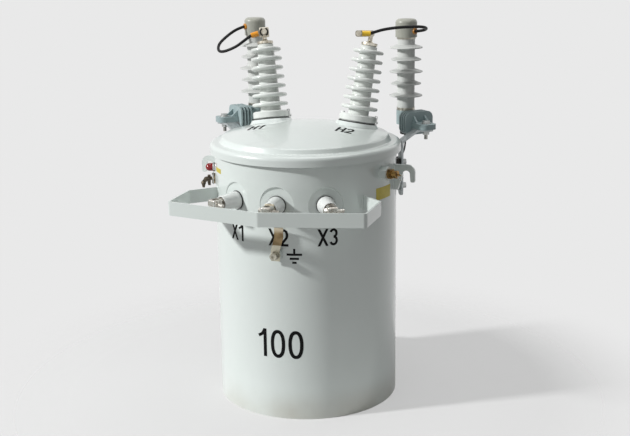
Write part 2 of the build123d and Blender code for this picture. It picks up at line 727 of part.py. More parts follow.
# Pressure relief valve
hex_end = prv_seat + PRV_HEX_L
body_end = hex_end + PRV_BODY_L
eye_mid = body_end + PRV_RING_R - PRV_RING_SINK
valve = hexagon(PRV_AF, prv_seat, hex_end) + post(PRV_BODY_R, hex_end, body_end)
eye = Pos(0, 0, eye_mid) * Rot(90, 0, 0) * Cylinder(PRV_RING_R, PRV_RING_T)
eye = eye - Pos(0, 0, eye_mid) * Rot(90, 0, 0) * Cylinder(PRV_RING_HOLE_R, 2 * PRV_RING_T)
save(wall_plane(PRV_ANGLE, prv_z) * (valve + eye), "relief_valve")

# Arrester straps, their pads, bolts and lead blocks
hang_bolt_x, hang_bolt_y, hang_level = polar(hang_r, ARM_ANGLE, 0)
arr_x = hang_bolt_x - HANG_SPAN * sin(radians(HANG_TURN))
arr_y = hang_bolt_y + HANG_SPAN * cos(radians(HANG_TURN))
arm_mid = arm_in + ARM_T / 2
tab_mid = arm_tab_z + ARM_T / 2
arm_path = FilletPolyline(
    (arm_mid, arm_low), (arm_mid, arm_knee_z), (arm_knee_r, tab_mid), (arm_out, tab_mid), radius=ARM_BEND_R,
)
section = Plane(origin=arm_path @ 0, x_dir=(1, 0, 0), z_dir=arm_path % 0) * Rectangle(ARM_T, ARM_W)
arm = sweep(section, path=arm_path)
ends = arm.edges().filter_by(Axis.X).group_by(Axis.Y)[0]
arm = fillet(ends, ARM_END_ROUND)
outer = arm.edges().filter_by(Axis.Y).group_by(Axis.X)[-1]
arm = fillet(outer, ARM_END_ROUND)
arm = radial_plane(ARM_ANGLE).location * arm
arm_end = arm_in + ARM_T
for height in (arm_bolt_high, arm_bolt_low):
    arm = arm - wall_plane(ARM_ANGLE, height) * post(ARM_BOLT_R + HOLE_PLAY, arm_in - ARM_T, arm_end + ARM_T)
arm = arm - Pos(hang_bolt_x, hang_bolt_y, 0) * post(HANG_BOLT_R + HOLE_PLAY, arm_tab_z - ARM_T, hang_tab_top)
save(arm, "arrester_strap_right")
save(mirrored(arm), "arrester_strap_left")
lug_head = arm_end + ARM_WASHER_T
arm_bolt = post(ARM_BOLT_R, arm_in, lug_head) + post(ARM_WASHER_R, arm_end, lug_head)
arm_bolt = arm_bolt + hexagon(ARM_BOLT_AF, lug_head, lug_head + ARM_BOLT_HEAD)
shell = post(TANK_R + WELD_GAP, 0, TANK_H)
standoff = wall_plane(ARM_ANGLE, arm_bolt_low) * post(ARM_PAD_R, bore_r, arm_in) - shell
cube = slab(-LEAD_BLOCK / 2, LEAD_BLOCK / 2, -LEAD_BLOCK / 2, LEAD_BLOCK / 2, bore_r, arm_in)
cube = fillet(cube.edges().filter_by(Axis.Z), LEAD_BLOCK_ROUND)
lead_block = wall_plane(ARM_ANGLE, arm_bolt_high) * cube - shell
bolts = [wall_plane(ARM_ANGLE, height) * arm_bolt for height in (arm_bolt_high, arm_bolt_low)]
save(Compound(bolts + [mirrored(b) for b in bolts]), "strap_bolts")
save(Compound([standoff, mirrored(standoff)]), "strap_pads")
save(Compound([lead_block, mirrored(lead_block)]), "lead_blocks")

# Arrester hangers: a moulded arm with fins between the arrester and the strap
span = HANG_SPAN
aim = (sin(radians(HANG_TURN)), -cos(radians(HANG_TURN)), 0)
hang_plane = Plane(origin=(arr_x, arr_y, 0), x_dir=aim, z_dir=(0, 0, 1))
last_fin = HANG_FIN_FIRST + HANG_FIN_PITCH * (HANG_FINS - 1)
tab_end = span + HANG_TAB_PAST
hanger = post(HANG_CUP_R, hang_cup_low, hang_cup_top)
hanger = hanger + slab(0, last_fin, -HANG_ARM_W / 2, HANG_ARM_W / 2, hang_arm_low, hang_arm_top)
fin_mid = (hang_fin_low + hang_fin_top) / 2
fin = extrude(Plane.YZ * RectangleRounded(HANG_FIN_W, hang_fin_top - hang_fin_low, HANG_FIN_ROUND),
              HANG_FIN_T / 2, both=True)
for i in range(HANG_FINS):
    hanger = hanger + Pos(HANG_FIN_FIRST + HANG_FIN_PITCH * i, 0, fin_mid) * fin
tab = slab(last_fin, tab_end, -HANG_TAB_W / 2, HANG_TAB_W / 2, tab_low, hang_tab_top)
tab = fillet(tab.edges().filter_by(Axis.Z).group_by(Axis.X)[-1], HANG_TAB_W / 3)
rib = make_face([
    Line((last_fin, hang_tab_top), (last_fin + HANG_RIB_L, hang_tab_top)),
    Line((last_fin + HANG_RIB_L, hang_tab_top), (last_fin, hang_tab_top + HANG_RIB_H)),
    Line((last_fin, hang_tab_top + HANG_RIB_H), (last_fin, hang_tab_top)),
])
rib = extrude(Plane.XZ * rib, HANG_RIB_T / 2, both=True)
hanger = hanger + tab + Pos(0, HANG_RIB_OFF, 0) * rib + Pos(0, -HANG_RIB_OFF, 0) * rib
hanger = hanger - Pos(span, 0, 0) * post(HANG_BOLT_R + HOLE_PLAY, arm_tab_z, hang_fin_top)
hanger = hang_plane * hanger
save(hanger, "arrester_hanger_right")
save(mirrored(hanger), "arrester_hanger_left")

# Hanger bolts with a round head, washer, nut and thread end
head_z = hang_tab_top + HANG_WASHER_T
nut_low = arm_tab_z - HANG_NUT_T
pin = post(HANG_BOLT_R, nut_low, head_z) + post(HANG_WASHER_R, hang_tab_top, head_z)
pin = pin + post(HANG_HEAD_R, head_z, head_z + HANG_HEAD_T) + hexagon(HANG_NUT_AF, nut_low, arm_tab_z)
pin = pin + post(HANG_THREAD_R, nut_low - HANG_THREAD_L, nut_low)
pin = Pos(hang_bolt_x, hang_bolt_y, 0) * pin
save(Compound([pin, mirrored(pin)]), "hanger_bolts")

# Arresters: shed housing, metal rings, cap and disconnector
heights = [arr_shed_first + ARR_SHED_PITCH * i for i in range(ARR_SHEDS)]
reach = [ARR_SHED_SMALL_R if i % 2 else ARR_SHED_BIG_R for i in range(ARR_SHEDS)]
housing = spin([
    Line((0, collar_top), (HOUSING_R, collar_top)),
    *shed_edges(collar_top, housing_top, HOUSING_R, HOUSING_R, heights, reach,
                ARR_SHED_TIP_R, ARR_SHED_UNDER, ARR_SHED_OVER),
    Line((HOUSING_R, housing_top), (0, housing_top)),
    Line((0, housing_top), (0, collar_top)),
])
cap_bend = CAP_ROUND * sqrt(2) / 2
cap_in = CAP_R - CAP_ROUND
cap_shoulder = cap_top - CAP_ROUND
cap = spin([
    Line((0, ring_top), (CAP_R, ring_top)),
    Line((CAP_R, ring_top), (CAP_R, cap_shoulder)),
    ThreePointArc((CAP_R, cap_shoulder), (cap_in + cap_bend, cap_shoulder + cap_bend), (cap_in, cap_top)),
    Line((cap_in, cap_top), (0, cap_top)),
    Line((0, cap_top), (0, ring_top)),
])
rings = [post(COLLAR_R, hang_cup_top, collar_top), post(RING_R, housing_top, ring_top)]
release = post(DISC_R, disc_low, hang_cup_low)
release = fillet(release.edges().group_by(Axis.Z)[0], DISC_ROUND)
release = release + post(DISC_STUD_R, disc_low - DISC_STUD_L, disc_low)
place = Pos(arr_x, arr_y, 0)
save(place * housing, "arrester_housing_right")
save(mirrored(place * housing), "arrester_housing_left")
rings = [place * r for r in rings]
save(Compound(rings + [mirrored(r) for r in rings]), "arrester_rings")
save(place * release, "disconnector_right")
save(mirrored(place * release), "disconnector_left")

# Caps with a round port for each lead
left_port_z = cap_top - LEFT_PORT_DROP
right_port_z = cap_top - RIGHT_PORT_DROP
ports = {}
for side, sign, aim_xy, height in (
    ("left", -1, LEFT_PORT_AIM, left_port_z),
    ("right", 1, RIGHT_PORT_AIM, right_port_z),
):
    out = unit((aim_xy[0], aim_xy[1], 0))
    ports[side] = Plane(origin=(sign * arr_x, arr_y, height), x_dir=(0, 0, 1), z_dir=out)
    shape = Pos(sign * arr_x, arr_y, 0) * cap
    shape = shape - ports[side] * post(CAP_PORT_R, CAP_R - CAP_PORT_SINK, 2 * CAP_R)
    save(shape, "arrester_cap_" + side)
port_end = CAP_R - CAP_PORT_SINK + CAP_PORT_L
port = post(CAP_PORT_R, CAP_R - CAP_PORT_SINK, port_end)

# Jumper leads with a compression lug at the bushing and a sleeve at the cap
left_lug_plane = Plane(hv_planes["left"].location * front.location * Rot(0, 0, LEFT_LUG_DROOP))
right_lug_plane = Plane(hv_planes["right"].location * front.location * Rot(0, 0, RIGHT_LUG_RISE))
half_w = LUG_TONGUE_W / 2
tongue = slab(-LEFT_LUG_L + LEFT_TONGUE_L, half_w, -half_w, half_w, 0, LUG_TONGUE_T)
tongue = fillet(tongue.edges().filter_by(Axis.Z).group_by(Axis.X)[-1], LUG_TONGUE_W / 3)
tongue = tongue - post(HV_SCREW_R + HOLE_PLAY, -LUG_TONGUE_T, 2 * LUG_TONGUE_T)
left_barrel = Plane(origin=(-LEFT_LUG_L, 0, LUG_BARREL_R), x_dir=(0, 1, 0), z_dir=(1, 0, 0))
left_lug = tongue + left_barrel * post(LUG_BARREL_R, 0, LEFT_TONGUE_L + LUG_TONGUE_T)
left_lug = left_lug_plane * left_lug
right_barrel = Plane(origin=(0, 0, LUG_BARREL_R), x_dir=(0, 1, 0), z_dir=(1, 0, 0))
right_lug = right_barrel * post(LUG_BARREL_R, RIGHT_LUG_FROM, RIGHT_LUG_TO)
blade = slab(RIGHT_LUG_FROM - RIGHT_TONGUE_L, RIGHT_LUG_FROM + LUG_TONGUE_T, -half_w, half_w,
             LUG_BARREL_R - LUG_TONGUE_T / 2, LUG_BARREL_R + LUG_TONGUE_T / 2)
blade = fillet(blade.edges().filter_by(Axis.Z).group_by(Axis.X)[0], LUG_TONGUE_W / 3)
blade = blade - Pos(RIGHT_LUG_FROM - RIGHT_TONGUE_L / 2, 0, 0) * post(LUG_EYE_R, 0, 2 * LUG_BARREL_R)
right_lug = right_lug_plane * (right_lug + blade)
eye_spot = Pos(RIGHT_LUG_FROM - RIGHT_TONGUE_L / 2, 0, 0)
blade_low = LUG_BARREL_R - LUG_TONGUE_T / 2
blade_high = LUG_BARREL_R + LUG_TONGUE_T / 2
blade_bolt = post(HV_SPACER_R, -HV_SPADE_T / 2, blade_low)
blade_bolt = blade_bolt + post(LUG_EYE_R - HOLE_PLAY, blade_low, blade_high)
blade_bolt = blade_bolt + hexagon(HV_SCREW_AF, blade_high, blade_high + HV_SCREW_HEAD)
tilted_spade = front.location * Rot(0, 0, RIGHT_LUG_RISE) * front.location.inverse() * spade
right_terminal = hv_planes["right"] * (holder + tilted_spade) + right_lug_plane * (eye_spot * blade_bolt)
save(right_terminal, "hv_terminal_right")
left_start = left_lug_plane.from_local_coords(Vector(-LEFT_LUG_L, 0, LUG_BARREL_R))
left_next = left_lug_plane.from_local_coords(Vector(-LEFT_LUG_L - LEAD_LEAVE, 0, LUG_BARREL_R))
right_start = right_lug_plane.from_local_coords(Vector(RIGHT_LUG_TO, 0, LUG_BARREL_R))
right_next = right_lug_plane.from_local_coords(Vector(RIGHT_LUG_TO + LEAD_LEAVE, 0, LUG_BARREL_R))
left_end = ports["left"].from_local_coords(Vector(0, 0, port_end))
right_end = ports["right"].from_local_coords(Vector(0, 0, port_end))
left_leave = ports["left"].from_local_coords(Vector(0, 0, port_end + LEFT_PORT_LEAVE))
right_leave = ports["right"].from_local_coords(Vector(0, 0, port_end + RIGHT_PORT_LEAVE))
left_points = [left_end, left_leave, *LEFT_LEAD_MID, left_next, left_start]
right_points = [right_start, right_next, *RIGHT_LEAD_MID, right_leave, right_end]
for side, shape, route in (("left", left_lug, left_points), ("right", right_lug, right_points)):
    save(Compound([shape, ports[side] * port]), "jumper_ends_" + side)
    print(side, [tuple(round(c, 1) for c in Vector(*p)) for p in route])
    save(lead(route, LEAD_D, "jumper_" + side), "jumper_" + side)

# Ground leads from the disconnectors round to the lead blocks
block_side = wall_plane(ARM_ANGLE, arm_bolt_high)
block_r = (TANK_R + arm_in) / 2
earth_end = block_side.from_local_coords(Vector(LEAD_BLOCK / 2, 0, block_r))
earth_near = block_side.from_local_coords(Vector(LEAD_BLOCK / 2 + EARTH_LEAVE, 0, block_r))
stud_z = disc_low - DISC_STUD_L
earth_points = [
    (arr_x, arr_y, stud_z),
    (arr_x, arr_y, stud_z - EARTH_DROP),
    polar(earth_mid_r, EARTH_MID_ANGLE, earth_mid_z),
    earth_near,
    earth_end,
]
print("earth", [tuple(round(c, 1) for c in Vector(*p)) for p in earth_points])
earth = lead(earth_points, EARTH_D, "ground_lead")
save(earth, "ground_lead_right")
save(mirrored(earth), "ground_lead_left")

# Overload lamp: a bright bezel on a threaded collar with a red lens
lamp_plane = wall_plane(LAMP_ANGLE, lamp_z)
nut_face = TANK_R + LAMP_NUT_L
bezel_face = nut_face + LAMP_BEZEL_L
bezel = lamp_plane * post(LAMP_NUT_R, bore_r, nut_face) - shell
bezel = bezel + lamp_plane * cone(LAMP_BEZEL_R, LAMP_BEZEL_TIP_R, nut_face, bezel_face)
save(bezel, "lamp_bezel")
lens = post(LENS_R, bezel_face, bezel_face + LENS_L)
lens = lens + Pos(0, 0, bezel_face + LENS_L) * Sphere(LENS_R)
lens = lens & post(LAMP_BEZEL_R, bezel_face, bezel_face + LENS_L + 2 * LENS_R)
save(lamp_plane * lens, "lamp_lens")

# Breaker handle: a shaft in a boss and a forked lever that hangs at rest
breaker_plane = wall_plane(LAMP_ANGLE, breaker_z)
boss_face = TANK_R + BREAKER_BOSS_L
boss = breaker_plane * post(BREAKER_BOSS_R, bore_r, boss_face) - shell
boss = boss - breaker_plane * post(SHAFT_R + SHAFT_PLAY, bore_r, boss_face + BREAKER_BOSS_L)
save(boss, "breaker_boss")
hub_low = boss_face + HUB_GAP
hub_high = hub_low + HUB_L
handle = post(SHAFT_R, TANK_R + SHAFT_TIP, hub_low) + post(HUB_R, hub_low, hub_high)
knob_r = TANK_R + LEVER_KNOB_OUT
lever = make_face(Polyline(
    (hub_low, LEVER_NECK),
    (TANK_R + LEVER_SIDE_OUT, LEVER_NECK - LEVER_LEG_W / 2),
    (knob_r + LEVER_TIP_W, -LEVER_KNOB_DROP),
    (knob_r + LEVER_TIP_W / 2, -LEVER_TIP_DROP),
    (knob_r - LEVER_TIP_W / 2, -LEVER_TIP_DROP),
    (knob_r - LEVER_TIP_W, -LEVER_KNOB_DROP),
    (TANK_R + LEVER_SIDE_OUT - LEVER_LEG_W, -LEVER_NECK),
    (hub_low + LEVER_LEG_W, -LEVER_LEG_DROP),
    (hub_low, -LEVER_LEG_DROP),
    close=True,
))
side_on = Plane(origin=(0, 0, 0), x_dir=(0, 0, 1), z_dir=(-1, 0, 0))
handle = handle + extrude(side_on * lever, LEVER_T / 2, both=True)
handle = handle + Pos(0, -LEVER_KNOB_DROP, knob_r) * Sphere(LEVER_KNOB_R)
save(breaker_plane * handle, "breaker_handle")

# Pole support brackets: bent channels welded to the back, with a bolt slot in each face
channel = slab(-POLE_W / 2, POLE_W / 2, 0, pole_face_y, -POLE_H / 2, POLE_H / 2)
channel = fillet(channel.edges().filter_by(Axis.Z).group_by(Axis.Y)[-1], POLE_BEND_R)
hollow = slab(-POLE_W / 2 + POLE_T, POLE_W / 2 - POLE_T, 0, pole_face_y - POLE_T, -POLE_H, POLE_H)
hollow = fillet(hollow.edges().filter_by(Axis.Z).group_by(Axis.Y)[-1], POLE_BEND_R - POLE_T)
channel = channel - hollow
slot = Plane.XZ * SlotOverall(POLE_SLOT_L, POLE_SLOT_W, rotation=90)
channel = channel - Pos(0, pole_face_y, 0) * extrude(slot, 2 * POLE_T, both=True)
for name, height in (("upper", pole_top_z), ("lower", POLE_FOOT)):
    save(Pos(0, 0, height) * channel - shell, "pole_bracket_" + name)
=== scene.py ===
import math
import bmesh
import bpy
from mathutils import Matrix, Vector


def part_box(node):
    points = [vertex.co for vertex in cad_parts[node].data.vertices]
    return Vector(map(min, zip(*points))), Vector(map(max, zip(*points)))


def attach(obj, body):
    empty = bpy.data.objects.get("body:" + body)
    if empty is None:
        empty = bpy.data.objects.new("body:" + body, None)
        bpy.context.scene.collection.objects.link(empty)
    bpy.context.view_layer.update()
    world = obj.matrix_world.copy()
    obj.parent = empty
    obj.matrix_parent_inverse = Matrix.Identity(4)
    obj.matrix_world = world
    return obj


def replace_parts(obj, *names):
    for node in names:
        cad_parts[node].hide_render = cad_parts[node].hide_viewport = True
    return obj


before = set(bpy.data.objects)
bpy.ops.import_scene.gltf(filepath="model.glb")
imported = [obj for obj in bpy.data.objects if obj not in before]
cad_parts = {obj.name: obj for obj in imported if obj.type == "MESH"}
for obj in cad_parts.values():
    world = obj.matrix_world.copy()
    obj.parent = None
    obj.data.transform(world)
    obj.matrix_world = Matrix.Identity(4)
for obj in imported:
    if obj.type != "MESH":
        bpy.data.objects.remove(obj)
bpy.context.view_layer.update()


# Tank: a round shell rolled from sheet steel with a welded floor, sprayed with pale grey enamel.
# The film has a fine orange-peel skin, a gloss that varies a little, and it is mottled darker and browner
# towards the foot.
tank_r = 0.290
foot_tone_top = 0.11
foot_tone_most = 0.55


def tint(red, green, blue):
    # A screen colour, 0 to 255, as the linear colour that a shader takes.
    steps = [c / 255.0 for c in (red, green, blue)]
    return [c / 12.92 if c <= 0.04045 else ((c + 0.055) / 1.055) ** 2.4 for c in steps] + [1.0]


def build_tone_group():
    group = bpy.data.node_groups.new("tone_and_grain", "ShaderNodeTree")
    face = group.interface
    face.new_socket("Vector", in_out="INPUT", socket_type="NodeSocketVector")
    for label, value in (("Patch Scale", 5.0), ("Grain Scale", 300.0)):
        face.new_socket(label, in_out="INPUT", socket_type="NodeSocketFloat").default_value = value
    for label in ("Patch", "Grain"):
        face.new_socket(label, in_out="OUTPUT", socket_type="NodeSocketFloat")
    start = group.nodes.new("NodeGroupInput")
    end = group.nodes.new("NodeGroupOutput")
    for label, detail in (("Patch", 4.0), ("Grain", 2.0)):
        noise = group.nodes.new("ShaderNodeTexNoise")
        noise.inputs["Detail"].default_value = detail
        spread = group.nodes.new("ShaderNodeMapRange")
        spread.interpolation_type = "SMOOTHSTEP"
        spread.inputs["From Min"].default_value = 0.22
        spread.inputs["From Max"].default_value = 0.78
        group.links.new(start.outputs["Vector"], noise.inputs["Vector"])
        group.links.new(start.outputs[label + " Scale"], noise.inputs["Scale"])
        group.links.new(noise.outputs["Fac"], spread.inputs["Value"])
        group.links.new(spread.outputs["Result"], end.inputs[label])
    return group


tone_and_grain = build_tone_group()


def make_finish(name, pale, deep, rough, patch=5.0, grain=300.0, relief=0.0, share=0.3, metallic=0.0):
    mat = bpy.data.materials.new(name)
    mat.use_nodes = True
    nodes, links = mat.node_tree.nodes, mat.node_tree.links
    shader = nodes["Principled BSDF"]
    shader.inputs["Metallic"].default_value = metallic
    place = nodes.new("ShaderNodeTexCoord")
    tone = nodes.new("ShaderNodeGroup")
    tone.name = "Tone"
    tone.node_tree = tone_and_grain
    tone.inputs["Patch Scale"].default_value = patch
    tone.inputs["Grain Scale"].default_value = grain
    links.new(place.outputs["Object"], tone.inputs["Vector"])
    blend = nodes.new("ShaderNodeMix")
    blend.data_type = "RGBA"
    blend.inputs[6].default_value = pale
    blend.inputs[7].default_value = deep
    links.new(tone.outputs["Patch"], blend.inputs[0])
    links.new(blend.outputs[2], shader.inputs["Base Color"])
    gloss = nodes.new("ShaderNodeMapRange")
    gloss.inputs["To Min"].default_value, gloss.inputs["To Max"].default_value = rough
    links.new(tone.outputs["Patch"], gloss.inputs["Value"])
    links.new(gloss.outputs["Result"], shader.inputs["Roughness"])
    if relief:
        bump = nodes.new("ShaderNodeBump")
        bump.inputs["Strength"].default_value = share
        bump.inputs["Distance"].default_value = relief
        links.new(tone.outputs["Grain"], bump.inputs["Height"])
        links.new(bump.outputs["Normal"], shader.inputs["Normal"])
    return mat


def add_coat(mat, weight, rough):
    shader = mat.node_tree.nodes["Principled BSDF"]
    shader.inputs["Coat Weight"].default_value = weight
    shader.inputs["Coat Roughness"].default_value = rough


def height_mask(mat, from_z, to_z, most=1.0, blend="LINEAR"):
    nodes, links = mat.node_tree.nodes, mat.node_tree.links
    place = nodes.new("ShaderNodeTexCoord")
    split = nodes.new("ShaderNodeSeparateXYZ")
    ramp = nodes.new("ShaderNodeMapRange")
    ramp.interpolation_type = blend
    ramp.inputs["From Min"].default_value = from_z
    ramp.inputs["From Max"].default_value = to_z
    ramp.inputs["To Max"].default_value = most
    links.new(place.outputs["Object"], split.inputs[0])
    links.new(split.outputs["Z"], ramp.inputs["Value"])
    return ramp.outputs["Result"]


def lay_over(mat, mask, colour):
    # Puts a colour over what the base colour has so far, where the mask is 1.
    links = mat.node_tree.links
    base = mat.node_tree.nodes["Principled BSDF"].inputs["Base Color"]
    under = base.links[0].from_socket
    layer = mat.node_tree.nodes.new("ShaderNodeMix")
    layer.data_type = "RGBA"
    layer.inputs[7].default_value = colour
    links.new(mask, layer.inputs[0])
    links.new(under, layer.inputs[6])
    links.new(layer.outputs[2], base)


def dress(mat, *names):
    for name in names:
        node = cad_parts[name]
        node.data.materials.clear()
        node.data.materials.append(mat)


enamel = make_finish("pale_enamel", tint(222, 229, 226), tint(216, 224, 220), (0.27, 0.33),
                     patch=3.0, grain=240.0, relief=0.0004, share=0.12)
add_coat(enamel, weight=0.6, rough=0.07)
# The enamel is mixed in blotches towards a darker, browner tone near the foot of the tank.
foot = height_mask(enamel, foot_tone_top, 0.0, foot_tone_most, "SMOOTHSTEP")
foot_tone = enamel.node_tree.nodes.new("ShaderNodeMath")
foot_tone.operation = "MULTIPLY"
enamel.node_tree.links.new(foot, foot_tone.inputs[0])
enamel.node_tree.links.new(enamel.node_tree.nodes["Tone"].outputs["Patch"], foot_tone.inputs[1])
lay_over(enamel, foot_tone.outputs[0], tint(158, 146, 126))
dress(enamel, "tank_wall", "tank_floor")

# Core and coils: a block of stacked steel sheets and windings, sealed inside the tank.
# It never shows, and carries a plain dark mill finish.
core_steel = make_finish("core_steel", tint(92, 92, 94), tint(70, 70, 72), (0.5, 0.6),
                         patch=8.0, grain=90.0, relief=0.0005)
dress(core_steel, "core_and_coils")

# Welded fittings: hook lugs cut from plate, a guard bent from flat bar and two folded pole brackets.
# Each is fixed to the shell by a rippled fillet weld, and the shell is closed by one along its back seam.
# All of it is painted over.
dress(enamel, "lifting_lug_left", "lifting_lug_right", "bushing_guard", "strap_pads",
      "pole_bracket_upper", "pole_bracket_lower")
ripple_pitch, bead_width, weld_short = 0.0024, 0.0056, 0.002
lug_face, lug_proud = 0.0062, 0.0004
guard_end_deg, guard_face_deg = {-1: -55.4, 1: 54.7}, 0.95
bracket_face = 0.0576
seam_deg, seam_sunk, seam_z = 150.0, 0.0008, (0.004, 0.796)


def start_tree(name, inputs, result):
    tree = bpy.data.node_groups.new(name, "GeometryNodeTree")
    for label, kind in inputs.items():
        tree.interface.new_socket(label, in_out="INPUT", socket_type="NodeSocket" + kind)
    tree.interface.new_socket(result, in_out="OUTPUT", socket_type="NodeSocketGeometry")
    return tree


def string_along(tree, start, path, pitch, shape, axis):
    # Copies of a shape along a line, one at each pitch, turned to follow it.
    add, join = tree.nodes.new, tree.links.new
    line, even = add("GeometryNodeMeshToCurve"), add("GeometryNodeResampleCurve")
    even.mode = "LENGTH"
    tangent, align = add("GeometryNodeInputTangent"), add("FunctionNodeAlignRotationToVector")
    align.axis = axis
    scatter = add("GeometryNodeInstanceOnPoints")
    join(start.outputs[path], line.inputs["Mesh"])
    join(line.outputs["Curve"], even.inputs["Curve"])
    join(start.outputs[pitch], even.inputs["Length"])
    join(even.outputs["Curve"], scatter.inputs["Points"])
    join(shape, scatter.inputs["Instance"])
    join(tangent.outputs["Tangent"], align.inputs["Vector"])
    join(align.outputs["Rotation"], scatter.inputs["Rotation"])
    return scatter


def end_tree(tree, start, scatter, result, smooth=True):
    add, join = tree.nodes.new, tree.links.new
    solid, paint = add("GeometryNodeRealizeInstances"), add("GeometryNodeSetMaterial")
    end = add("NodeGroupOutput")
    join(scatter.outputs["Instances"], solid.inputs["Geometry"])
    shape = solid.outputs["Geometry"]
    if smooth:
        shade = add("GeometryNodeSetShadeSmooth")
        join(shape, shade.inputs["Geometry"])
        shape = shade.outputs["Geometry"]
    join(shape, paint.inputs["Geometry"])
    join(start.outputs["Finish"], paint.inputs["Material"])
    join(paint.outputs["Geometry"], end.inputs[result])


def build_bead_tree():
    tree = start_tree("weld_bead", {"Path": "Geometry", "Ripple Pitch": "Float", "Bead Width": "Float",
                                    "Finish": "Material"}, "Bead")
    add, join = tree.nodes.new, tree.links.new
    start = add("NodeGroupInput")
    half = add("ShaderNodeMath")
    half.operation = "MULTIPLY"
    half.inputs[1].default_value = 0.5
    drop = add("GeometryNodeMeshIcoSphere")
    drop.inputs["Subdivisions"].default_value = 2
    join(start.outputs["Bead Width"], half.inputs[0])
    join(half.outputs[0], drop.inputs["Radius"])
    scatter = string_along(tree, start, "Path", "Ripple Pitch", drop.outputs["Mesh"], "X")
    vary = add("FunctionNodeRandomValue")
    vary.inputs[2].default_value, vary.inputs[3].default_value = 0.88, 1.12
    vary.inputs["Seed"].default_value = 7
    join(vary.outputs[1], scatter.inputs["Scale"])
    end_tree(tree, start, scatter, "Bead")
    return tree


def grow(name, source, tree, values):
    maker = bpy.data.objects.new(name + "_maker", source)
    bpy.context.scene.collection.objects.link(maker)
    step = maker.modifiers.new("grow", "NODES")
    step.node_group = tree
    for item in tree.interface.items_tree:
        if item.in_out == "INPUT" and item.name in values:
            step[item.identifier] = values[item.name]
    ready = maker.evaluated_get(bpy.context.evaluated_depsgraph_get())
    mesh = bpy.data.meshes.new_from_object(ready)
    bpy.data.objects.remove(maker)
    return mesh


def fit(name, shape, finish=None):
    if finish is not None:
        shape.materials.clear()
        shape.materials.append(finish)
    piece = bpy.data.objects.new(name, shape)
    bpy.context.scene.collection.objects.link(piece)
    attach(piece, "transformer")
    return piece


def mesh_of_lines(name, lines):
    verts, edges = [], []
    for line in lines:
        first = len(verts)
        verts.extend(line)
        edges.extend((first + i, first + i + 1) for i in range(len(line) - 1))
    mesh = bpy.data.meshes.new(name)
    mesh.from_pydata(verts, edges, [])
    return mesh


def polar(radius, degrees, height):
    # A point round the tank, with 0 degrees at the front and positive angles to the right.
    turn = math.radians(degrees)
    return Vector((radius * math.sin(turn), -radius * math.cos(turn), height))


def weld_heights(node):
    low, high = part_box(node)
    return [round(z, 5) for z in (low.z + weld_short, (low.z + high.z) / 2, high.z - weld_short)]


welds = []
lug_z, guard_z = weld_heights("lifting_lug_right"), weld_heights("bushing_guard")
bracket_back = math.sqrt(tank_r ** 2 - bracket_face ** 2)
for side in (-1, 1):
    for face in (-1, 1):
        welds.append([(side * (tank_r + lug_proud), face * lug_face, z) for z in lug_z])
        welds.append([polar(tank_r, guard_end_deg[side] + face * guard_face_deg, z) for z in guard_z])
    for bracket in ("pole_bracket_lower", "pole_bracket_upper"):
        welds.append([(side * bracket_face, bracket_back, z) for z in weld_heights(bracket)])
welds.append([polar(tank_r - seam_sunk, seam_deg, z) for z in seam_z])
weld_beads = grow("weld_beads", mesh_of_lines("weld_lines", welds), build_bead_tree(),
                  {"Ripple Pitch": ripple_pitch, "Bead Width": bead_width, "Finish": enamel})
fit("weld_beads", weld_beads)

# Painted marks: terminal numbers under the low-voltage bushings, the ground sign and the size in
# figures low on the front. They are stencilled in black paint straight on the enamel.
mark_black = make_finish("stencil_black", tint(7, 8, 8), tint(13, 14, 14), (0.5, 0.65),
                         patch=30.0, grain=500.0, relief=0.0002)
mark_black.node_tree.nodes["Principled BSDF"].inputs["Specular IOR Level"].default_value = 0.1
mark_step = 0.008
number_tall, number_thick, number_z = 0.053, 0.0074, 0.5585
figure_tall, figure_thick, figure_z = 0.091, 0.0110, 0.2
ground_sign_deg, ground_sign_z = 10.4, 0.5365


def sweep_pen(work, path, thick, closed=False):
    # A flat stroke of even width along a path, mitred at its corners.
    spots = [Vector((x, y, 0.0)) for x, y in path]
    rails, count = [], len(spots)
    for i, spot in enumerate(spots):
        before = spots[i - 1] if i or closed else spot - (spots[1] - spot)
        after = spots[(i + 1) % count] if i < count - 1 or closed else spot + (spot - spots[i - 1])
        first, second = (spot - before).normalized(), (after - spot).normalized()
        middle = (first + second).normalized()
        side = Vector((-middle.y, middle.x, 0.0)) * (thick / 2 / max(middle.dot(first), 0.4))
        rails.append((work.verts.new(spot - side), work.verts.new(spot + side)))
    for i in range(count if closed else count - 1):
        j = (i + 1) % count
        work.faces.new((rails[i][0], rails[j][0], rails[j][1], rails[i][1]))


def bow(mid_x, mid_y, half_w, half_h, start, end, steps=28, power=2.0):
    # Part of an oval from one angle to another; a higher power makes it squarer.
    spots = []
    for i in range(steps + 1):
        turn = math.radians(start + (end - start) * i / steps)
        across, rise = math.cos(turn), math.sin(turn)
        spots.append((mid_x + half_w * math.copysign(abs(across) ** (2 / power), across),
                      mid_y + half_h * math.copysign(abs(rise) ** (2 / power), rise)))
    return spots


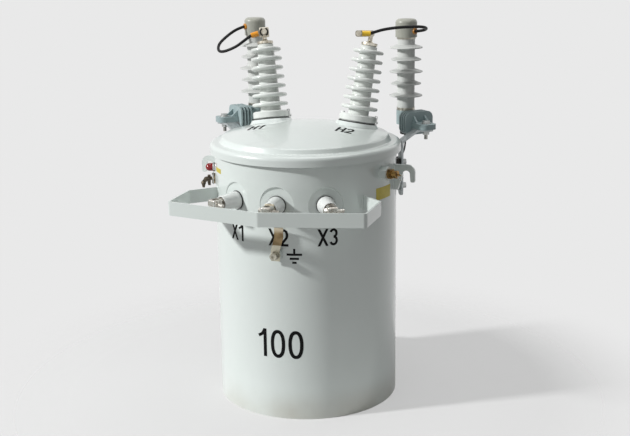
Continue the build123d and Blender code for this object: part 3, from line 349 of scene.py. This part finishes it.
def draw_sign(work, sign, left, wide, tall, thick):
    low, top, half = thick / 2, tall - thick / 2, (wide - thick) / 2
    mid = left + wide / 2
    if sign == "X":
        lean = (wide - 1.15 * thick) / 2 * 1.4
        for way in (-1, 1):
            sweep_pen(work, [(mid - way * lean, -0.2 * tall), (mid + way * lean, 1.2 * tall)], thick)
    elif sign == "H":
        for x in (left + low, left + wide - low):
            sweep_pen(work, [(x, 0.0), (x, tall)], thick)
        sweep_pen(work, [(left + low, 0.52 * tall), (left + wide - low, 0.52 * tall)], thick)
    elif sign == "1":
        stem = left + wide - low
        flag = [(left, 0.72 * tall), (left + 0.45 * wide, 0.80 * tall), (stem, 0.99 * tall)]
        sweep_pen(work, [(stem, 0.0), (stem, tall)], thick)
        sweep_pen(work, flag, 0.85 * thick)
    elif sign == "2":
        rise = 0.27 * tall
        curl = bow(mid, top - rise, half, rise, 168.0, -38.0)
        sweep_pen(work, curl + [(left + low, low)], thick)
        sweep_pen(work, [(left, low), (left + wide, low)], thick)
    elif sign == "3":
        high, deep = 0.24 * (tall - thick), 0.26 * (tall - thick)
        sweep_pen(work, bow(mid, top - high, 0.94 * half, high, 160.0, -90.0), thick)
        sweep_pen(work, bow(mid, low + deep, half, deep, 90.0, -160.0), thick)
    elif sign == "0":
        ring = bow(mid, tall / 2, half, tall / 2 - low, 0.0, 354.0, steps=60, power=2.3)
        sweep_pen(work, ring, thick, closed=True)


def letters(name, layout, tall, thick):
    work = bmesh.new()
    for sign, left, wide in layout:
        draw_sign(work, sign, left, wide, tall, thick)
    for height, way in ((0.0, -1), (tall, 1)):
        bmesh.ops.bisect_plane(work, geom=work.verts[:] + work.edges[:] + work.faces[:],
                               plane_co=(0, height, 0), plane_no=(0, way, 0), clear_outer=True)
    mesh = bpy.data.meshes.new(name)
    work.to_mesh(mesh)
    work.free()
    return mesh


def cut_fine(mesh, step, most_cuts=6):
    work = bmesh.new()
    work.from_mesh(mesh)
    bmesh.ops.triangulate(work, faces=work.faces)
    for _ in range(most_cuts):
        long_edges = [e for e in work.edges if e.calc_length() > step]
        if not long_edges:
            break
        bmesh.ops.subdivide_edges(work, edges=long_edges, cuts=1)
        bmesh.ops.triangulate(work, faces=work.faces)
    work.to_mesh(mesh)
    work.free()


def wrap_on_tank(mesh, degrees, height, lift=0.0004):
    cut_fine(mesh, mark_step)
    for vert in mesh.vertices:
        vert.co = polar(tank_r + lift, degrees + math.degrees(vert.co.x / tank_r), height + vert.co.y)


def bars(shapes):
    mesh = bpy.data.meshes.new("bars")
    verts, faces = [], []
    for x0, x1, y0, y1 in shapes:
        faces.append([len(verts) + i for i in range(4)])
        verts.extend([(x0, y0, 0), (x1, y0, 0), (x1, y1, 0), (x0, y1, 0)])
    mesh.from_pydata(verts, [], faces)
    return mesh


for digit, wide, degrees in (("1", 0.020, -28.6), ("2", 0.027, 0.7), ("3", 0.027, 30.4)):
    number = letters("X" + digit, [("X", -0.031, 0.034), (digit, 0.005, wide)], number_tall, number_thick)
    wrap_on_tank(number, degrees, number_z)
    fit("mark_X" + digit, number, mark_black)
figures = letters("figures", [("1", -0.070, 0.028), ("0", -0.028, 0.047), ("0", 0.029, 0.047)],
                  figure_tall, figure_thick)
wrap_on_tank(figures, 0.0, figure_z)
fit("mark_figures", figures, mark_black)
ground_sign = bars([(-0.0032, 0.0032, 0.0155, -0.001), (-0.0235, 0.0235, 0.0006, -0.0062),
                    (-0.014, 0.014, -0.0125, -0.0190), (-0.0066, 0.0066, -0.0250, -0.0312)])
wrap_on_tank(ground_sign, ground_sign_deg, ground_sign_z)
fit("mark_ground_sign", ground_sign, mark_black)

# Blank labels: two yellow vinyl stickers with nothing printed on them, one by the relief valve and
# a small one by the lamp, pressed on to the enamel and slightly faded.
label_yellow = make_finish("label_vinyl", tint(214, 196, 60), tint(196, 178, 52), (0.35, 0.5),
                           patch=40.0, grain=700.0, relief=0.0002)
label_back, label_front, label_edge = 0.0002, 0.0006, 0.0004
label_steps = 24
for name, low_angle, high_angle, low_z, high_z in (("label_right", 65.3, 82.0, 0.674, 0.712),
                                                   ("label_left", -56.4, -47.0, 0.749, 0.764)):
    verts, faces = [], []
    for i in range(label_steps + 1):
        angle = low_angle + (high_angle - low_angle) * i / label_steps
        verts.extend([polar(tank_r + label_back, angle, low_z),
                      polar(tank_r + label_back, angle, high_z),
                      polar(tank_r + label_front, angle, low_z + label_edge),
                      polar(tank_r + label_front, angle, high_z - label_edge)])
    for i in range(label_steps):
        a, b = 4 * i, 4 * i + 4
        faces.extend([(a + 2, b + 2, b + 3, a + 3), (a, b, b + 2, a + 2),
                      (a + 3, b + 3, b + 1, a + 1), (a + 1, b + 1, b, a)])
    last = 4 * label_steps
    faces.extend([(0, 2, 3, 1), (last + 1, last + 3, last + 2, last)])
    label = bpy.data.meshes.new(name)
    label.from_pydata(verts, [], faces)
    fit(name, label, label_yellow)

# Cover: pressed from sheet with a deep skirt, a ledge, a step and a shallow dome, enamelled like the
# tank. It sits on a flat rubber ring, and the high-voltage terminals are numbered on the dome.
dress(enamel, "cover")
dark_rubber = make_finish("dark_rubber", tint(30, 31, 32), tint(42, 43, 43), (0.6, 0.75),
                          patch=20.0, grain=500.0, relief=0.0003)
dress(dark_rubber, "cover_seal", "hv_seals", "lv_seals")
dome_rim_r, dome_rise, dome_top = 0.265, 0.037, 0.887
dome_r = (dome_rim_r ** 2 + dome_rise ** 2) / (2 * dome_rise)
dome_mid = dome_top - dome_r
dome_lift = 0.0005
dome_number_tall, dome_number_thick = 0.054, 0.0072
for digit, wide, left, low in (("1", 0.017, -0.166, -0.084), ("2", 0.024, 0.1186, -0.072)):
    number = letters("H" + digit, [("H", 0.0, 0.026), (digit, 0.029, wide)],
                     dome_number_tall, dome_number_thick)
    cut_fine(number, mark_step)
    for vert in number.vertices:
        x, y = left + vert.co.x, low + vert.co.y
        vert.co = (x, y, dome_mid + math.sqrt(dome_r ** 2 - x * x - y * y) + dome_lift)
    fit("mark_H" + digit, number, mark_black)

# High-voltage bushings: pale grey glazed porcelain with seven thick sheds, each stood on a black seal
# and held to the raised pad by two bent steel clips with a small hex screw each.
grey_glaze = make_finish("grey_glaze", tint(229, 233, 229), tint(218, 222, 218), (0.1, 0.17),
                         patch=14.0, grain=160.0, relief=0.0002, share=0.1)
add_coat(grey_glaze, weight=0.5, rough=0.05)
dress(grey_glaze, "hv_bushing_left", "hv_bushing_right")
zinc = make_finish("zinc_plate", tint(196, 198, 196), tint(164, 166, 165), (0.3, 0.5),
                   patch=60.0, grain=400.0, relief=0.0002, metallic=0.85)
lean_out, lean_back = 0.123, 0.163
hv_foot_x, hv_foot_y, hv_foot_z = 0.146, 0.093, 0.880
hv_turn = math.radians(18.0)
clip_half_w = 0.0045
clip_outline = [(0.0602, -0.0028), (0.0632, -0.0028), (0.0632, 0.0252), (0.0616, 0.0268),
                (0.0540, 0.0268), (0.0540, 0.0243), (0.0602, 0.0241)]
screw_at = (0.0648, 0.0, 0.0060)


def by_axes(across, along, out, spot):
    place = Matrix((across, along, out)).transposed().to_4x4()
    place.translation = spot
    return place


def lean_place(side):
    up = Vector((side * lean_out, lean_back, math.sqrt(1 - lean_out ** 2 - lean_back ** 2)))
    back = up.cross(Vector((math.cos(hv_turn), math.sin(hv_turn), 0.0))).normalized()
    return by_axes(back.cross(up), back, up, (side * hv_foot_x, hv_foot_y, hv_foot_z))


def build_ring_tree():
    tree = start_tree("ring_of_clips", {"Clip": "Geometry", "Count": "Int", "First Turn": "Float",
                                        "Turn Step": "Float", "Finish": "Material"}, "Ring")
    add, join = tree.nodes.new, tree.links.new
    start, spots = add("NodeGroupInput"), add("GeometryNodeMeshLine")
    spots.inputs["Offset"].default_value = (0.0, 0.0, 0.0)
    index, turn = add("GeometryNodeInputIndex"), add("ShaderNodeMath")
    turn.operation = "MULTIPLY_ADD"
    spin, scatter = add("ShaderNodeCombineXYZ"), add("GeometryNodeInstanceOnPoints")
    join(start.outputs["Count"], spots.inputs["Count"])
    join(index.outputs["Index"], turn.inputs[0])
    join(start.outputs["Turn Step"], turn.inputs[1])
    join(start.outputs["First Turn"], turn.inputs[2])
    join(turn.outputs[0], spin.inputs["Z"])
    join(spots.outputs["Mesh"], scatter.inputs["Points"])
    join(start.outputs["Clip"], scatter.inputs["Instance"])
    join(spin.outputs["Vector"], scatter.inputs["Rotation"])
    end_tree(tree, start, scatter, "Ring", smooth=False)
    return tree


def clip_mesh():
    work = bmesh.new()
    near = [work.verts.new((x, -clip_half_w, z)) for x, z in clip_outline]
    far = [work.verts.new((x, clip_half_w, z)) for x, z in clip_outline]
    work.faces.new(near)
    work.faces.new(list(reversed(far)))
    for i in range(len(clip_outline)):
        j = (i + 1) % len(clip_outline)
        work.faces.new((near[j], near[i], far[i], far[j]))
    place = Matrix.Translation(screw_at) @ Matrix.Rotation(math.radians(90), 4, "Y")
    bmesh.ops.create_cone(work, cap_ends=True, segments=6, radius1=0.0042, radius2=0.0040,
                          depth=0.0034, matrix=place)
    bmesh.ops.recalc_face_normals(work, faces=work.faces)
    mesh = bpy.data.meshes.new("clip")
    work.to_mesh(mesh)
    work.free()
    return mesh


ring_of_clips = build_ring_tree()
for name, side in (("hv_clips_left", -1), ("hv_clips_right", 1)):
    clips = grow(name, clip_mesh(), ring_of_clips,
                 {"Count": 2, "First Turn": -0.14, "Turn Step": 2.7, "Finish": zinc})
    clips.transform(lean_place(side))
    fit(name, clips)

# High-voltage terminals: tinned bronze flanges with a stem and a clamp block; the left block has a hex
# screw on its face, with two dark steel arcs round it.
# The strong light and dark mottle of the tin is partly its own uneven tone and partly painted highlights and
# painted shade of bright metal.
tinned = make_finish("tinned_bronze", tint(228, 223, 210), tint(156, 148, 131), (0.16, 0.4),
                     patch=95.0, grain=420.0, relief=0.0004, share=0.4, metallic=0.9)
dress(tinned, "hv_terminal_left", "hv_terminal_right")
dark_steel = make_finish("dark_steel", tint(34, 33, 32), tint(50, 48, 46), (0.35, 0.55),
                         patch=50.0, grain=400.0, relief=0.0002, metallic=0.7)
block_face = (0.0, -0.011, 0.2825)
face_out = Matrix.Translation(block_face) @ Matrix.Rotation(math.radians(90), 4, "X")


def arc_plates(name, inner, outer, low, high, half_turn, steps=14):
    work = bmesh.new()
    for middle in (0.0, math.pi):
        rows = []
        for i in range(steps + 1):
            turn = middle - half_turn + 2 * half_turn * i / steps
            rows.append([work.verts.new((r * math.cos(turn), r * math.sin(turn), z))
                         for r, z in ((inner, low), (outer, low), (outer, high), (inner, high))])
        for first, second in zip(rows, rows[1:]):
            for k in range(4):
                n = (k + 1) % 4
                work.faces.new((first[k], first[n], second[n], second[k]))
        work.faces.new(rows[0])
        work.faces.new(rows[-1])
    bmesh.ops.recalc_face_normals(work, faces=work.faces)
    mesh = bpy.data.meshes.new(name)
    work.to_mesh(mesh)
    work.free()
    return mesh


dark_arcs = arc_plates("terminal_dark_arcs", inner=0.0100, outer=0.0146, low=0.0001, high=0.0050,
                  half_turn=math.radians(66))
dark_arcs.transform(lean_place(-1) @ face_out)
fit("terminal_dark_arcs", dark_arcs, dark_steel)

# Low-voltage bushings: short white porcelain cones on black seals, each with a hex nut sunk in a raised
# rim at its nose and a tinned clamp for the service wire. The clamp screw has an open thread.
white_glaze = make_finish("white_glaze", tint(243, 245, 243), tint(234, 237, 235), (0.1, 0.2),
                          patch=25.0, grain=200.0, relief=0.0002, share=0.1)
add_coat(white_glaze, weight=0.5, rough=0.05)
dress(white_glaze, "lv_bushing_x1", "lv_bushing_x2", "lv_bushing_x3")
# The strong light and dark mottle of the tin is partly its own uneven tone and partly painted highlights and
# painted shade of bright metal.
bright_tin = make_finish("bright_tin", tint(236, 234, 228), tint(150, 143, 132), (0.18, 0.42),
                         patch=95.0, grain=420.0, relief=0.0004, share=0.4, metallic=0.8)
dress(bright_tin, "lv_terminal_x1", "lv_terminal_x2", "lv_terminal_x3")
lv_angles, lv_z = (-29.7, 0.0, 29.7), 0.683
rim_rows = [(0.0193, 0.3362), (0.0222, 0.3340), (0.0224, 0.3350), (0.0222, 0.3464), (0.0214, 0.3473),
            (0.0201, 0.3473), (0.0193, 0.3466)]
clamp_r, screw_from, screw_to = 0.368, 0.0172, 0.0354
thread_pitch, clamp_thread_r = 0.00175, 0.0053


def lathe(name, rows, place, segments=40):
    # A ring turned from a closed profile of radius and height.
    verts, faces = [], []
    for radius, height in rows:
        for i in range(segments):
            turn = math.tau * i / segments
            verts.append((radius * math.cos(turn), radius * math.sin(turn), height))
    count = len(rows)
    for j in range(count):
        k = (j + 1) % count
        for i in range(segments):
            n = (i + 1) % segments
            faces.append((j * segments + i, j * segments + n, k * segments + n, k * segments + i))
    mesh = bpy.data.meshes.new(name)
    mesh.from_pydata(verts, [], faces)
    work = bmesh.new()
    work.from_mesh(mesh)
    bmesh.ops.recalc_face_normals(work, faces=work.faces)
    work.to_mesh(mesh)
    work.free()
    mesh.transform(place)
    return mesh


def facing_out(degrees, spot):
    up, facing = Vector((0, 0, 1)), polar(1.0, degrees, 0.0)
    return by_axes(up.cross(facing), up, facing, spot)


def build_thread_tree():
    tree = start_tree("open_thread", {"Axis": "Geometry", "Pitch": "Float", "Radius": "Float",
                                      "Finish": "Material"}, "Thread")
    add, join = tree.nodes.new, tree.links.new
    start = add("NodeGroupInput")
    ring, edge = add("GeometryNodeCurvePrimitiveCircle"), add("GeometryNodeCurvePrimitiveCircle")
    ring.inputs["Resolution"].default_value, edge.inputs["Resolution"].default_value = 20, 6
    size, crest = add("ShaderNodeMath"), add("GeometryNodeCurveToMesh")
    size.operation = "MULTIPLY"
    size.inputs[1].default_value = 0.36
    join(start.outputs["Pitch"], size.inputs[0])
    join(start.outputs["Radius"], ring.inputs["Radius"])
    join(size.outputs[0], edge.inputs["Radius"])
    join(ring.outputs["Curve"], crest.inputs["Curve"])
    join(edge.outputs["Curve"], crest.inputs["Profile Curve"])
    scatter = string_along(tree, start, "Axis", "Pitch", crest.outputs["Mesh"], "Z")
    end_tree(tree, start, scatter, "Thread")
    return tree


for number, degrees in enumerate(lv_angles, 1):
    name = "lv_rim_x" + str(number)
    fit(name, lathe(name, rim_rows, facing_out(degrees, (0.0, 0.0, lv_z))), white_glaze)
open_thread = build_thread_tree()
axes = []
for degrees in lv_angles:
    along = Vector((math.cos(math.radians(degrees)), math.sin(math.radians(degrees)), 0.0))
    middle = polar(clamp_r, degrees, lv_z)
    axes.append([middle + along * screw_from, middle + along * screw_to])
lv_threads = grow("lv_threads", mesh_of_lines("lv_axes", axes), open_thread,
                  {"Pitch": thread_pitch, "Radius": clamp_thread_r, "Finish": bright_tin})
fit("lv_threads", lv_threads)

# Neutral strap: a flat copper strip bent from the middle terminal down to the ground boss. Its top is
# painted pale as a painted highlight, its lower end is dipped in tin, and a capped hex bolt with a washer
# holds it.
copper = make_finish("strap_copper", tint(148, 129, 95), tint(98, 80, 56), (0.3, 0.5),
                     patch=40.0, grain=300.0, relief=0.0003, metallic=0.75)
highlight_from, highlight_to = 0.602, 0.627
dip_from, dip_to = 0.566, 0.564
# Painted highlight: pale cream laid over the upper part of the strip, above a given height.
lay_over(copper, height_mask(copper, highlight_from, highlight_to), tint(230, 222, 200))
lay_over(copper, height_mask(copper, dip_from, dip_to), tint(190, 186, 168))
dress(copper, "neutral_strap")
weathered_tin = make_finish("weathered_tin", tint(196, 194, 180), tint(120, 114, 100), (0.25, 0.45),
                            patch=110.0, grain=500.0, relief=0.0003, share=0.4, metallic=0.8)
dress(weathered_tin, "ground_bolt")
bolt_face, ground_z = 0.3255, 0.534
cap_rows = [(0.0046, -0.0012), (0.0112, -0.0012), (0.0114, 0.0004), (0.0114, 0.0022), (0.0104, 0.0032),
            (0.0062, 0.0032), (0.0056, 0.0024), (0.0046, 0.0024)]
bolt_cap = lathe("ground_bolt_cap", cap_rows, facing_out(0.0, (0.0, -bolt_face, ground_z)))
fit("ground_bolt_cap", bolt_cap, weathered_tin)

# Relief valve: a turned and hexed brass body screwed into the boss, with a loose wire ring to pull it by.
# The brass has darkened in the air.
brass = make_finish("aged_brass", tint(172, 138, 82), tint(84, 60, 34), (0.18, 0.35),
                    patch=95.0, grain=300.0, relief=0.0003, metallic=0.9)
dress(brass, "relief_valve")
valve_deg, eye_r, eye_z = 71.0, 0.352, 0.757
ring_r, wire_r, wire_sides, droop = 0.0095, 0.0011, 10, math.radians(55)
out, up = polar(1.0, valve_deg, 0.0), Vector((0, 0, 1))
hub = polar(eye_r, valve_deg, eye_z) + out * (ring_r * math.cos(droop)) - up * (ring_r * math.sin(droop))
wire_turns = [math.tau * i / wire_sides for i in range(wire_sides)]
wire_rows = [(ring_r + wire_r * math.cos(turn), wire_r * math.sin(turn)) for turn in wire_turns]
pull_ring = lathe("pull_ring", wire_rows, by_axes(out, up, up.cross(out), hub), segments=36)
fit("pull_ring", pull_ring, zinc)

# Overload lamp and breaker: a bright turned bezel with a red lens, and under it a cast bronze handle
# on a shaft in a boss. The casting is dark and a little rough, and a plated ring locks the boss.
chrome = make_finish("bright_bezel", tint(200, 200, 198), tint(180, 180, 178), (0.16, 0.26),
                     patch=30.0, grain=500.0, relief=0.0001, share=0.2, metallic=1.0)
dress(chrome, "lamp_bezel")
red_lens = make_finish("red_lens", tint(160, 2, 14), tint(124, 0, 8), (0.06, 0.12), patch=60.0)
add_coat(red_lens, weight=0.1, rough=0.04)
dress(red_lens, "lamp_lens")
# The pale patches in the dark casting are partly its own uneven tone and partly painted highlights.
bronze = make_finish("cast_bronze", tint(128, 118, 102), tint(46, 40, 34), (0.3, 0.55),
                     patch=110.0, grain=600.0, relief=0.0006, share=0.5, metallic=0.8)
dress(bronze, "breaker_handle")
boss_bronze = make_finish("turned_bronze", tint(176, 160, 132), tint(84, 72, 58), (0.2, 0.4),
                          patch=120.0, grain=500.0, relief=0.0003, share=0.4, metallic=0.85)
dress(boss_bronze, "breaker_boss")
breaker_deg, breaker_z = -70.0, 0.713
lock_rows = [(0.0168, 0.0040), (0.0186, 0.0044), (0.0190, 0.0050), (0.0190, 0.0072), (0.0184, 0.0080),
             (0.0168, 0.0080)]
lock_ring = lathe("lock_ring", lock_rows, facing_out(breaker_deg, polar(tank_r, breaker_deg, breaker_z)))
fit("lock_ring", lock_ring, zinc)

# Arrester straps: flat steel bars, bent and hot-dip galvanised, bolted to stand-off pads. A dark
# clamp block behind the upper bolt takes the ground lead, and each hanger bolt ends in an open thread.
galvanised = make_finish("galvanised", tint(190, 195, 195), tint(160, 166, 168), (0.4, 0.55),
                         patch=90.0, grain=500.0, relief=0.0002, metallic=0.55)
dress(galvanised, "arrester_strap_left", "arrester_strap_right")
dress(zinc, "strap_bolts", "hanger_bolts")
dress(dark_steel, "lead_blocks")
hanger_bolt_x, hanger_bolt_y = 0.3516, 0.1886
hanger_thread_r, hanger_thread_z = 0.0052, (0.8155, 0.8295)
axes = [[Vector((side * hanger_bolt_x, hanger_bolt_y, z)) for z in hanger_thread_z] for side in (-1, 1)]
# The open threads take the dark cast bronze finish: partly the bolts' own brownish colour, partly painted
# shade under the hanger tabs.
hanger_threads = grow("hanger_threads", mesh_of_lines("hanger_axes", axes), open_thread,
                      {"Pitch": thread_pitch, "Radius": hanger_thread_r, "Finish": bronze})
fit("hanger_threads", hanger_threads)

# Hangers: blue-grey moulded brackets of filled resin with fins, ribs and a bolt tab. The skin has the
# soft, slightly cloudy look of a moulding.
hanger_resin = make_finish("hanger_resin", tint(164, 181, 182), tint(148, 166, 168), (0.36, 0.48),
                           patch=22.0, grain=450.0, relief=0.0003, share=0.25)
dress(hanger_resin, "arrester_hanger_left", "arrester_hanger_right")

# Arresters: grey silicone housings with five thin sheds, metal rings at both ends, a grey-beige
# moulded cap on top and a black disconnector under the hanger.
silicone = make_finish("shed_silicone", tint(214, 216, 213), tint(202, 205, 202), (0.36, 0.48),
                       patch=18.0, grain=350.0, relief=0.0003, share=0.2)
dress(silicone, "arrester_housing_left", "arrester_housing_right")
ring_metal = make_finish("ring_metal", tint(178, 175, 164), tint(142, 139, 129), (0.25, 0.4),
                         patch=50.0, grain=400.0, relief=0.0002, metallic=0.9)
dress(ring_metal, "arrester_rings")
cap_resin = make_finish("cap_resin", tint(172, 173, 162), tint(158, 159, 149), (0.3, 0.42),
                        patch=20.0, grain=400.0, relief=0.0003, share=0.2)
dress(cap_resin, "arrester_cap_left", "arrester_cap_right")
black_resin = make_finish("black_resin", tint(34, 34, 36), tint(46, 46, 48), (0.4, 0.55),
                          patch=30.0, grain=450.0, relief=0.0003)
dress(black_resin, "disconnector_left", "disconnector_right")

# Jumper leads: stiff black covered wire from each bushing terminal to the cap. Orange and yellow
# sleeves cover the pressed lugs, and an orange grommet closes the hole in each cap.
sheath = make_finish("black_sheath", tint(8, 8, 9), tint(16, 16, 17), (0.40, 0.54),
                     patch=60.0, grain=900.0, relief=0.0002)
sheath.node_tree.nodes["Principled BSDF"].inputs["Specular IOR Level"].default_value = 0.2
jumper_thick = 0.0096
left_route = [(-0.2925, 0.2489, 1.1660), (-0.311, 0.230, 1.160), (-0.335, 0.198, 1.139),
              (-0.352, 0.152, 1.112), (-0.330, 0.107, 1.089), (-0.265, 0.088, 1.110),
              (-0.229, 0.100, 1.138), (-0.2144, 0.1056, 1.1485)]
right_route = [(0.1839, 0.1197, 1.1589), (0.200, 0.125, 1.164), (0.228, 0.130, 1.172),
               (0.284, 0.135, 1.179), (0.351, 0.173, 1.178), (0.340, 0.235, 1.161),
               (0.2993, 0.2584, 1.1560)]


def lay_lead(name, points, diameter):
    curve = bpy.data.curves.new(name, "CURVE")
    curve.dimensions = "3D"
    curve.bevel_depth = diameter / 2
    curve.bevel_resolution = 5
    curve.use_fill_caps = True
    line = curve.splines.new("NURBS")
    line.points.add(len(points) - 1)
    for point, spot in zip(line.points, points):
        point.co = (*spot, 1.0)
    line.order_u = 3
    line.use_endpoint_u = True
    line.resolution_u = 16
    piece = fit(name, curve, sheath)
    return piece


def sleeve_finish(name, start, along, metal_to, sleeve, grommet, cap_from=0.012):
    mat = make_finish(name, sleeve, [c * 0.82 for c in sleeve[:3]] + [1.0], (0.3, 0.42),
                      patch=60.0, grain=500.0, relief=0.0002)
    nodes, links = mat.node_tree.nodes, mat.node_tree.links
    place = nodes.new("ShaderNodeTexCoord")
    offset, run = nodes.new("ShaderNodeVectorMath"), nodes.new("ShaderNodeVectorMath")
    offset.operation, run.operation = "SUBTRACT", "DOT_PRODUCT"
    offset.inputs[1].default_value = start
    run.inputs[1].default_value = along
    bare, far = nodes.new("ShaderNodeMath"), nodes.new("ShaderNodeMath")
    bare.operation, far.operation = "LESS_THAN", "GREATER_THAN"
    bare.inputs[1].default_value, far.inputs[1].default_value = metal_to, cap_from
    links.new(place.outputs["Object"], offset.inputs[0])
    links.new(offset.outputs["Vector"], run.inputs[0])
    links.new(run.outputs["Value"], bare.inputs[0])
    links.new(run.outputs["Value"], far.inputs[0])
    lay_over(mat, far.outputs[0], grommet)
    lay_over(mat, bare.outputs[0], tint(150, 144, 132))
    links.new(bare.outputs[0], nodes["Principled BSDF"].inputs["Metallic"])
    return mat


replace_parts(lay_lead("jumper_lead_left", left_route, jumper_thick), "jumper_left")
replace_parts(lay_lead("jumper_lead_right", right_route, jumper_thick), "jumper_right")
orange_sleeve = sleeve_finish("orange_sleeve", start=left_route[-1], along=(-0.897, -0.35, -0.267),
                              metal_to=-0.0245, sleeve=tint(250, 166, 40), grommet=tint(206, 136, 48))
dress(orange_sleeve, "jumper_ends_left")
yellow_sleeve = sleeve_finish("yellow_sleeve", start=right_route[0], along=(0.951, 0.307, -0.012),
                              metal_to=-0.0268, sleeve=tint(253, 208, 54), grommet=tint(180, 122, 50))
dress(yellow_sleeve, "jumper_ends_right")

# Ground leads: thin black wire from each disconnector's stud round to the clamp block on the strap.
# They are pushed into place by hand, so they bend softly.
ground_thick = 0.0056
ground_route = [(0.2641, 0.2764, 0.806), (0.2641, 0.2764, 0.768), (0.2663, 0.2081, 0.752),
                (0.2416, 0.1863, 0.744), (0.2596, 0.1528, 0.744)]
for hand, side in (("right", 1), ("left", -1)):
    route = [(side * x, y, z) for x, y, z in ground_route]
    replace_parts(lay_lead("ground_wire_" + hand, route, ground_thick), "ground_lead_" + hand)

# Studio: a pale floor that fades into the plain background, a main lamp far off at the upper left with
# three broad soft ones round the object, and the camera at the photograph's place and angle.
pale_ground = tint(233, 233, 233)
floor_half = 6
fade_from, fade_to, floor_veil = 0.35, 1.3, 0.45
floor = bpy.data.meshes.new("floor")
floor.from_pydata([(-floor_half, -floor_half, 0), (floor_half, -floor_half, 0), (floor_half, floor_half, 0),
                   (-floor_half, floor_half, 0)], [], [(0, 1, 2, 3)])
floor_finish = bpy.data.materials.new("studio_floor")
floor_finish.use_nodes = True
nodes, links = floor_finish.node_tree.nodes, floor_finish.node_tree.links
base = nodes["Principled BSDF"]
base.inputs["Base Color"].default_value = pale_ground
base.inputs["Roughness"].default_value = 0.9
place, reach = nodes.new("ShaderNodeTexCoord"), nodes.new("ShaderNodeVectorMath")
reach.operation = "LENGTH"
fade = nodes.new("ShaderNodeMapRange")
fade.interpolation_type = "SMOOTHSTEP"
fade.inputs["From Min"].default_value, fade.inputs["From Max"].default_value = fade_from, fade_to
rays, veil, most = nodes.new("ShaderNodeLightPath"), nodes.new("ShaderNodeMath"), nodes.new("ShaderNodeMath")
veil.operation, most.operation = "MULTIPLY", "MAXIMUM"
veil.inputs[1].default_value = floor_veil
clear, mix = nodes.new("ShaderNodeBsdfTransparent"), nodes.new("ShaderNodeMixShader")
links.new(place.outputs["Object"], reach.inputs[0])
links.new(reach.outputs["Value"], fade.inputs["Value"])
links.new(rays.outputs["Is Camera Ray"], veil.inputs[0])
links.new(veil.outputs[0], most.inputs[0])
links.new(fade.outputs["Result"], most.inputs[1])
links.new(most.outputs[0], mix.inputs[0])
links.new(base.outputs[0], mix.inputs[1])
links.new(clear.outputs[0], mix.inputs[2])
links.new(mix.outputs[0], nodes["Material Output"].inputs["Surface"])
floor.materials.append(floor_finish)
floor_piece = bpy.data.objects.new("floor", floor)
bpy.context.scene.collection.objects.link(floor_piece)

scene = bpy.context.scene
scene.view_settings.view_transform = "Standard"
world = bpy.data.worlds.new("studio")
scene.world = world
world.use_nodes = True
nodes, links = world.node_tree.nodes, world.node_tree.links
soft, backdrop = nodes["Background"], nodes.new("ShaderNodeBackground")
soft.inputs["Color"].default_value = (1.0, 1.0, 1.0, 1.0)
soft.inputs["Strength"].default_value = 0.155
backdrop.inputs["Color"].default_value = pale_ground
rays, shown = nodes.new("ShaderNodeLightPath"), nodes.new("ShaderNodeMixShader")
seen, glass = nodes.new("ShaderNodeMath"), nodes.new("ShaderNodeMath")
seen.operation = glass.operation = "MAXIMUM"
links.new(rays.outputs["Is Camera Ray"], seen.inputs[0])
links.new(rays.outputs["Is Glossy Ray"], seen.inputs[1])
links.new(seen.outputs[0], glass.inputs[0])
links.new(rays.outputs["Is Transmission Ray"], glass.inputs[1])
links.new(glass.outputs[0], shown.inputs[0])
links.new(soft.outputs[0], shown.inputs[1])
links.new(backdrop.outputs[0], shown.inputs[2])
links.new(shown.outputs[0], nodes["World Output"].inputs["Surface"])

lamp_target = Vector((0.0, 0.0, 0.6))
for name, spot, size, power in (("key", (-7.72, -4.87, 5.6), 0.72, 985.0),
                                ("fill", (-0.6, -4.0, 1.3), 2.2, 11.0),
                                ("top", (0.4, 0.3, 4.2), 2.4, 42.0),
                                ("rim", (1.5, 3.0, 2.6), 2.0, 9.0)):
    lamp = bpy.data.lights.new(name, "AREA")
    lamp.size = size
    lamp.energy = power
    holder = bpy.data.objects.new(name, lamp)
    holder.location = spot
    holder.rotation_euler = (lamp_target - Vector(spot)).to_track_quat("-Z", "Y").to_euler()
    scene.collection.objects.link(holder)

camera_at = (1.0611, -3.2656, 1.4439)
pitch, yaw, roll, around = (math.radians(a) for a in (14.225, 0.460, -0.787, 18.0))
ahead = Vector((math.sin(yaw) * math.cos(pitch), math.cos(yaw) * math.cos(pitch), -math.sin(pitch)))
right = Vector((math.cos(yaw), -math.sin(yaw), 0.0))
above = right.cross(ahead)
level = math.cos(roll) * right + math.sin(roll) * above
upward = -math.sin(roll) * right + math.cos(roll) * above
view = bpy.data.cameras.new("view")
view.sensor_fit = "HORIZONTAL"
view.sensor_width = 36.0
view.lens = 62.37
camera = bpy.data.objects.new("view", view)
camera.matrix_world = (Matrix.Translation(camera_at) @ Matrix.Rotation(around, 4, "Z")
                       @ Matrix((level, upward, -ahead)).transposed().to_4x4())
scene.collection.objects.link(camera)
scene.camera = camera
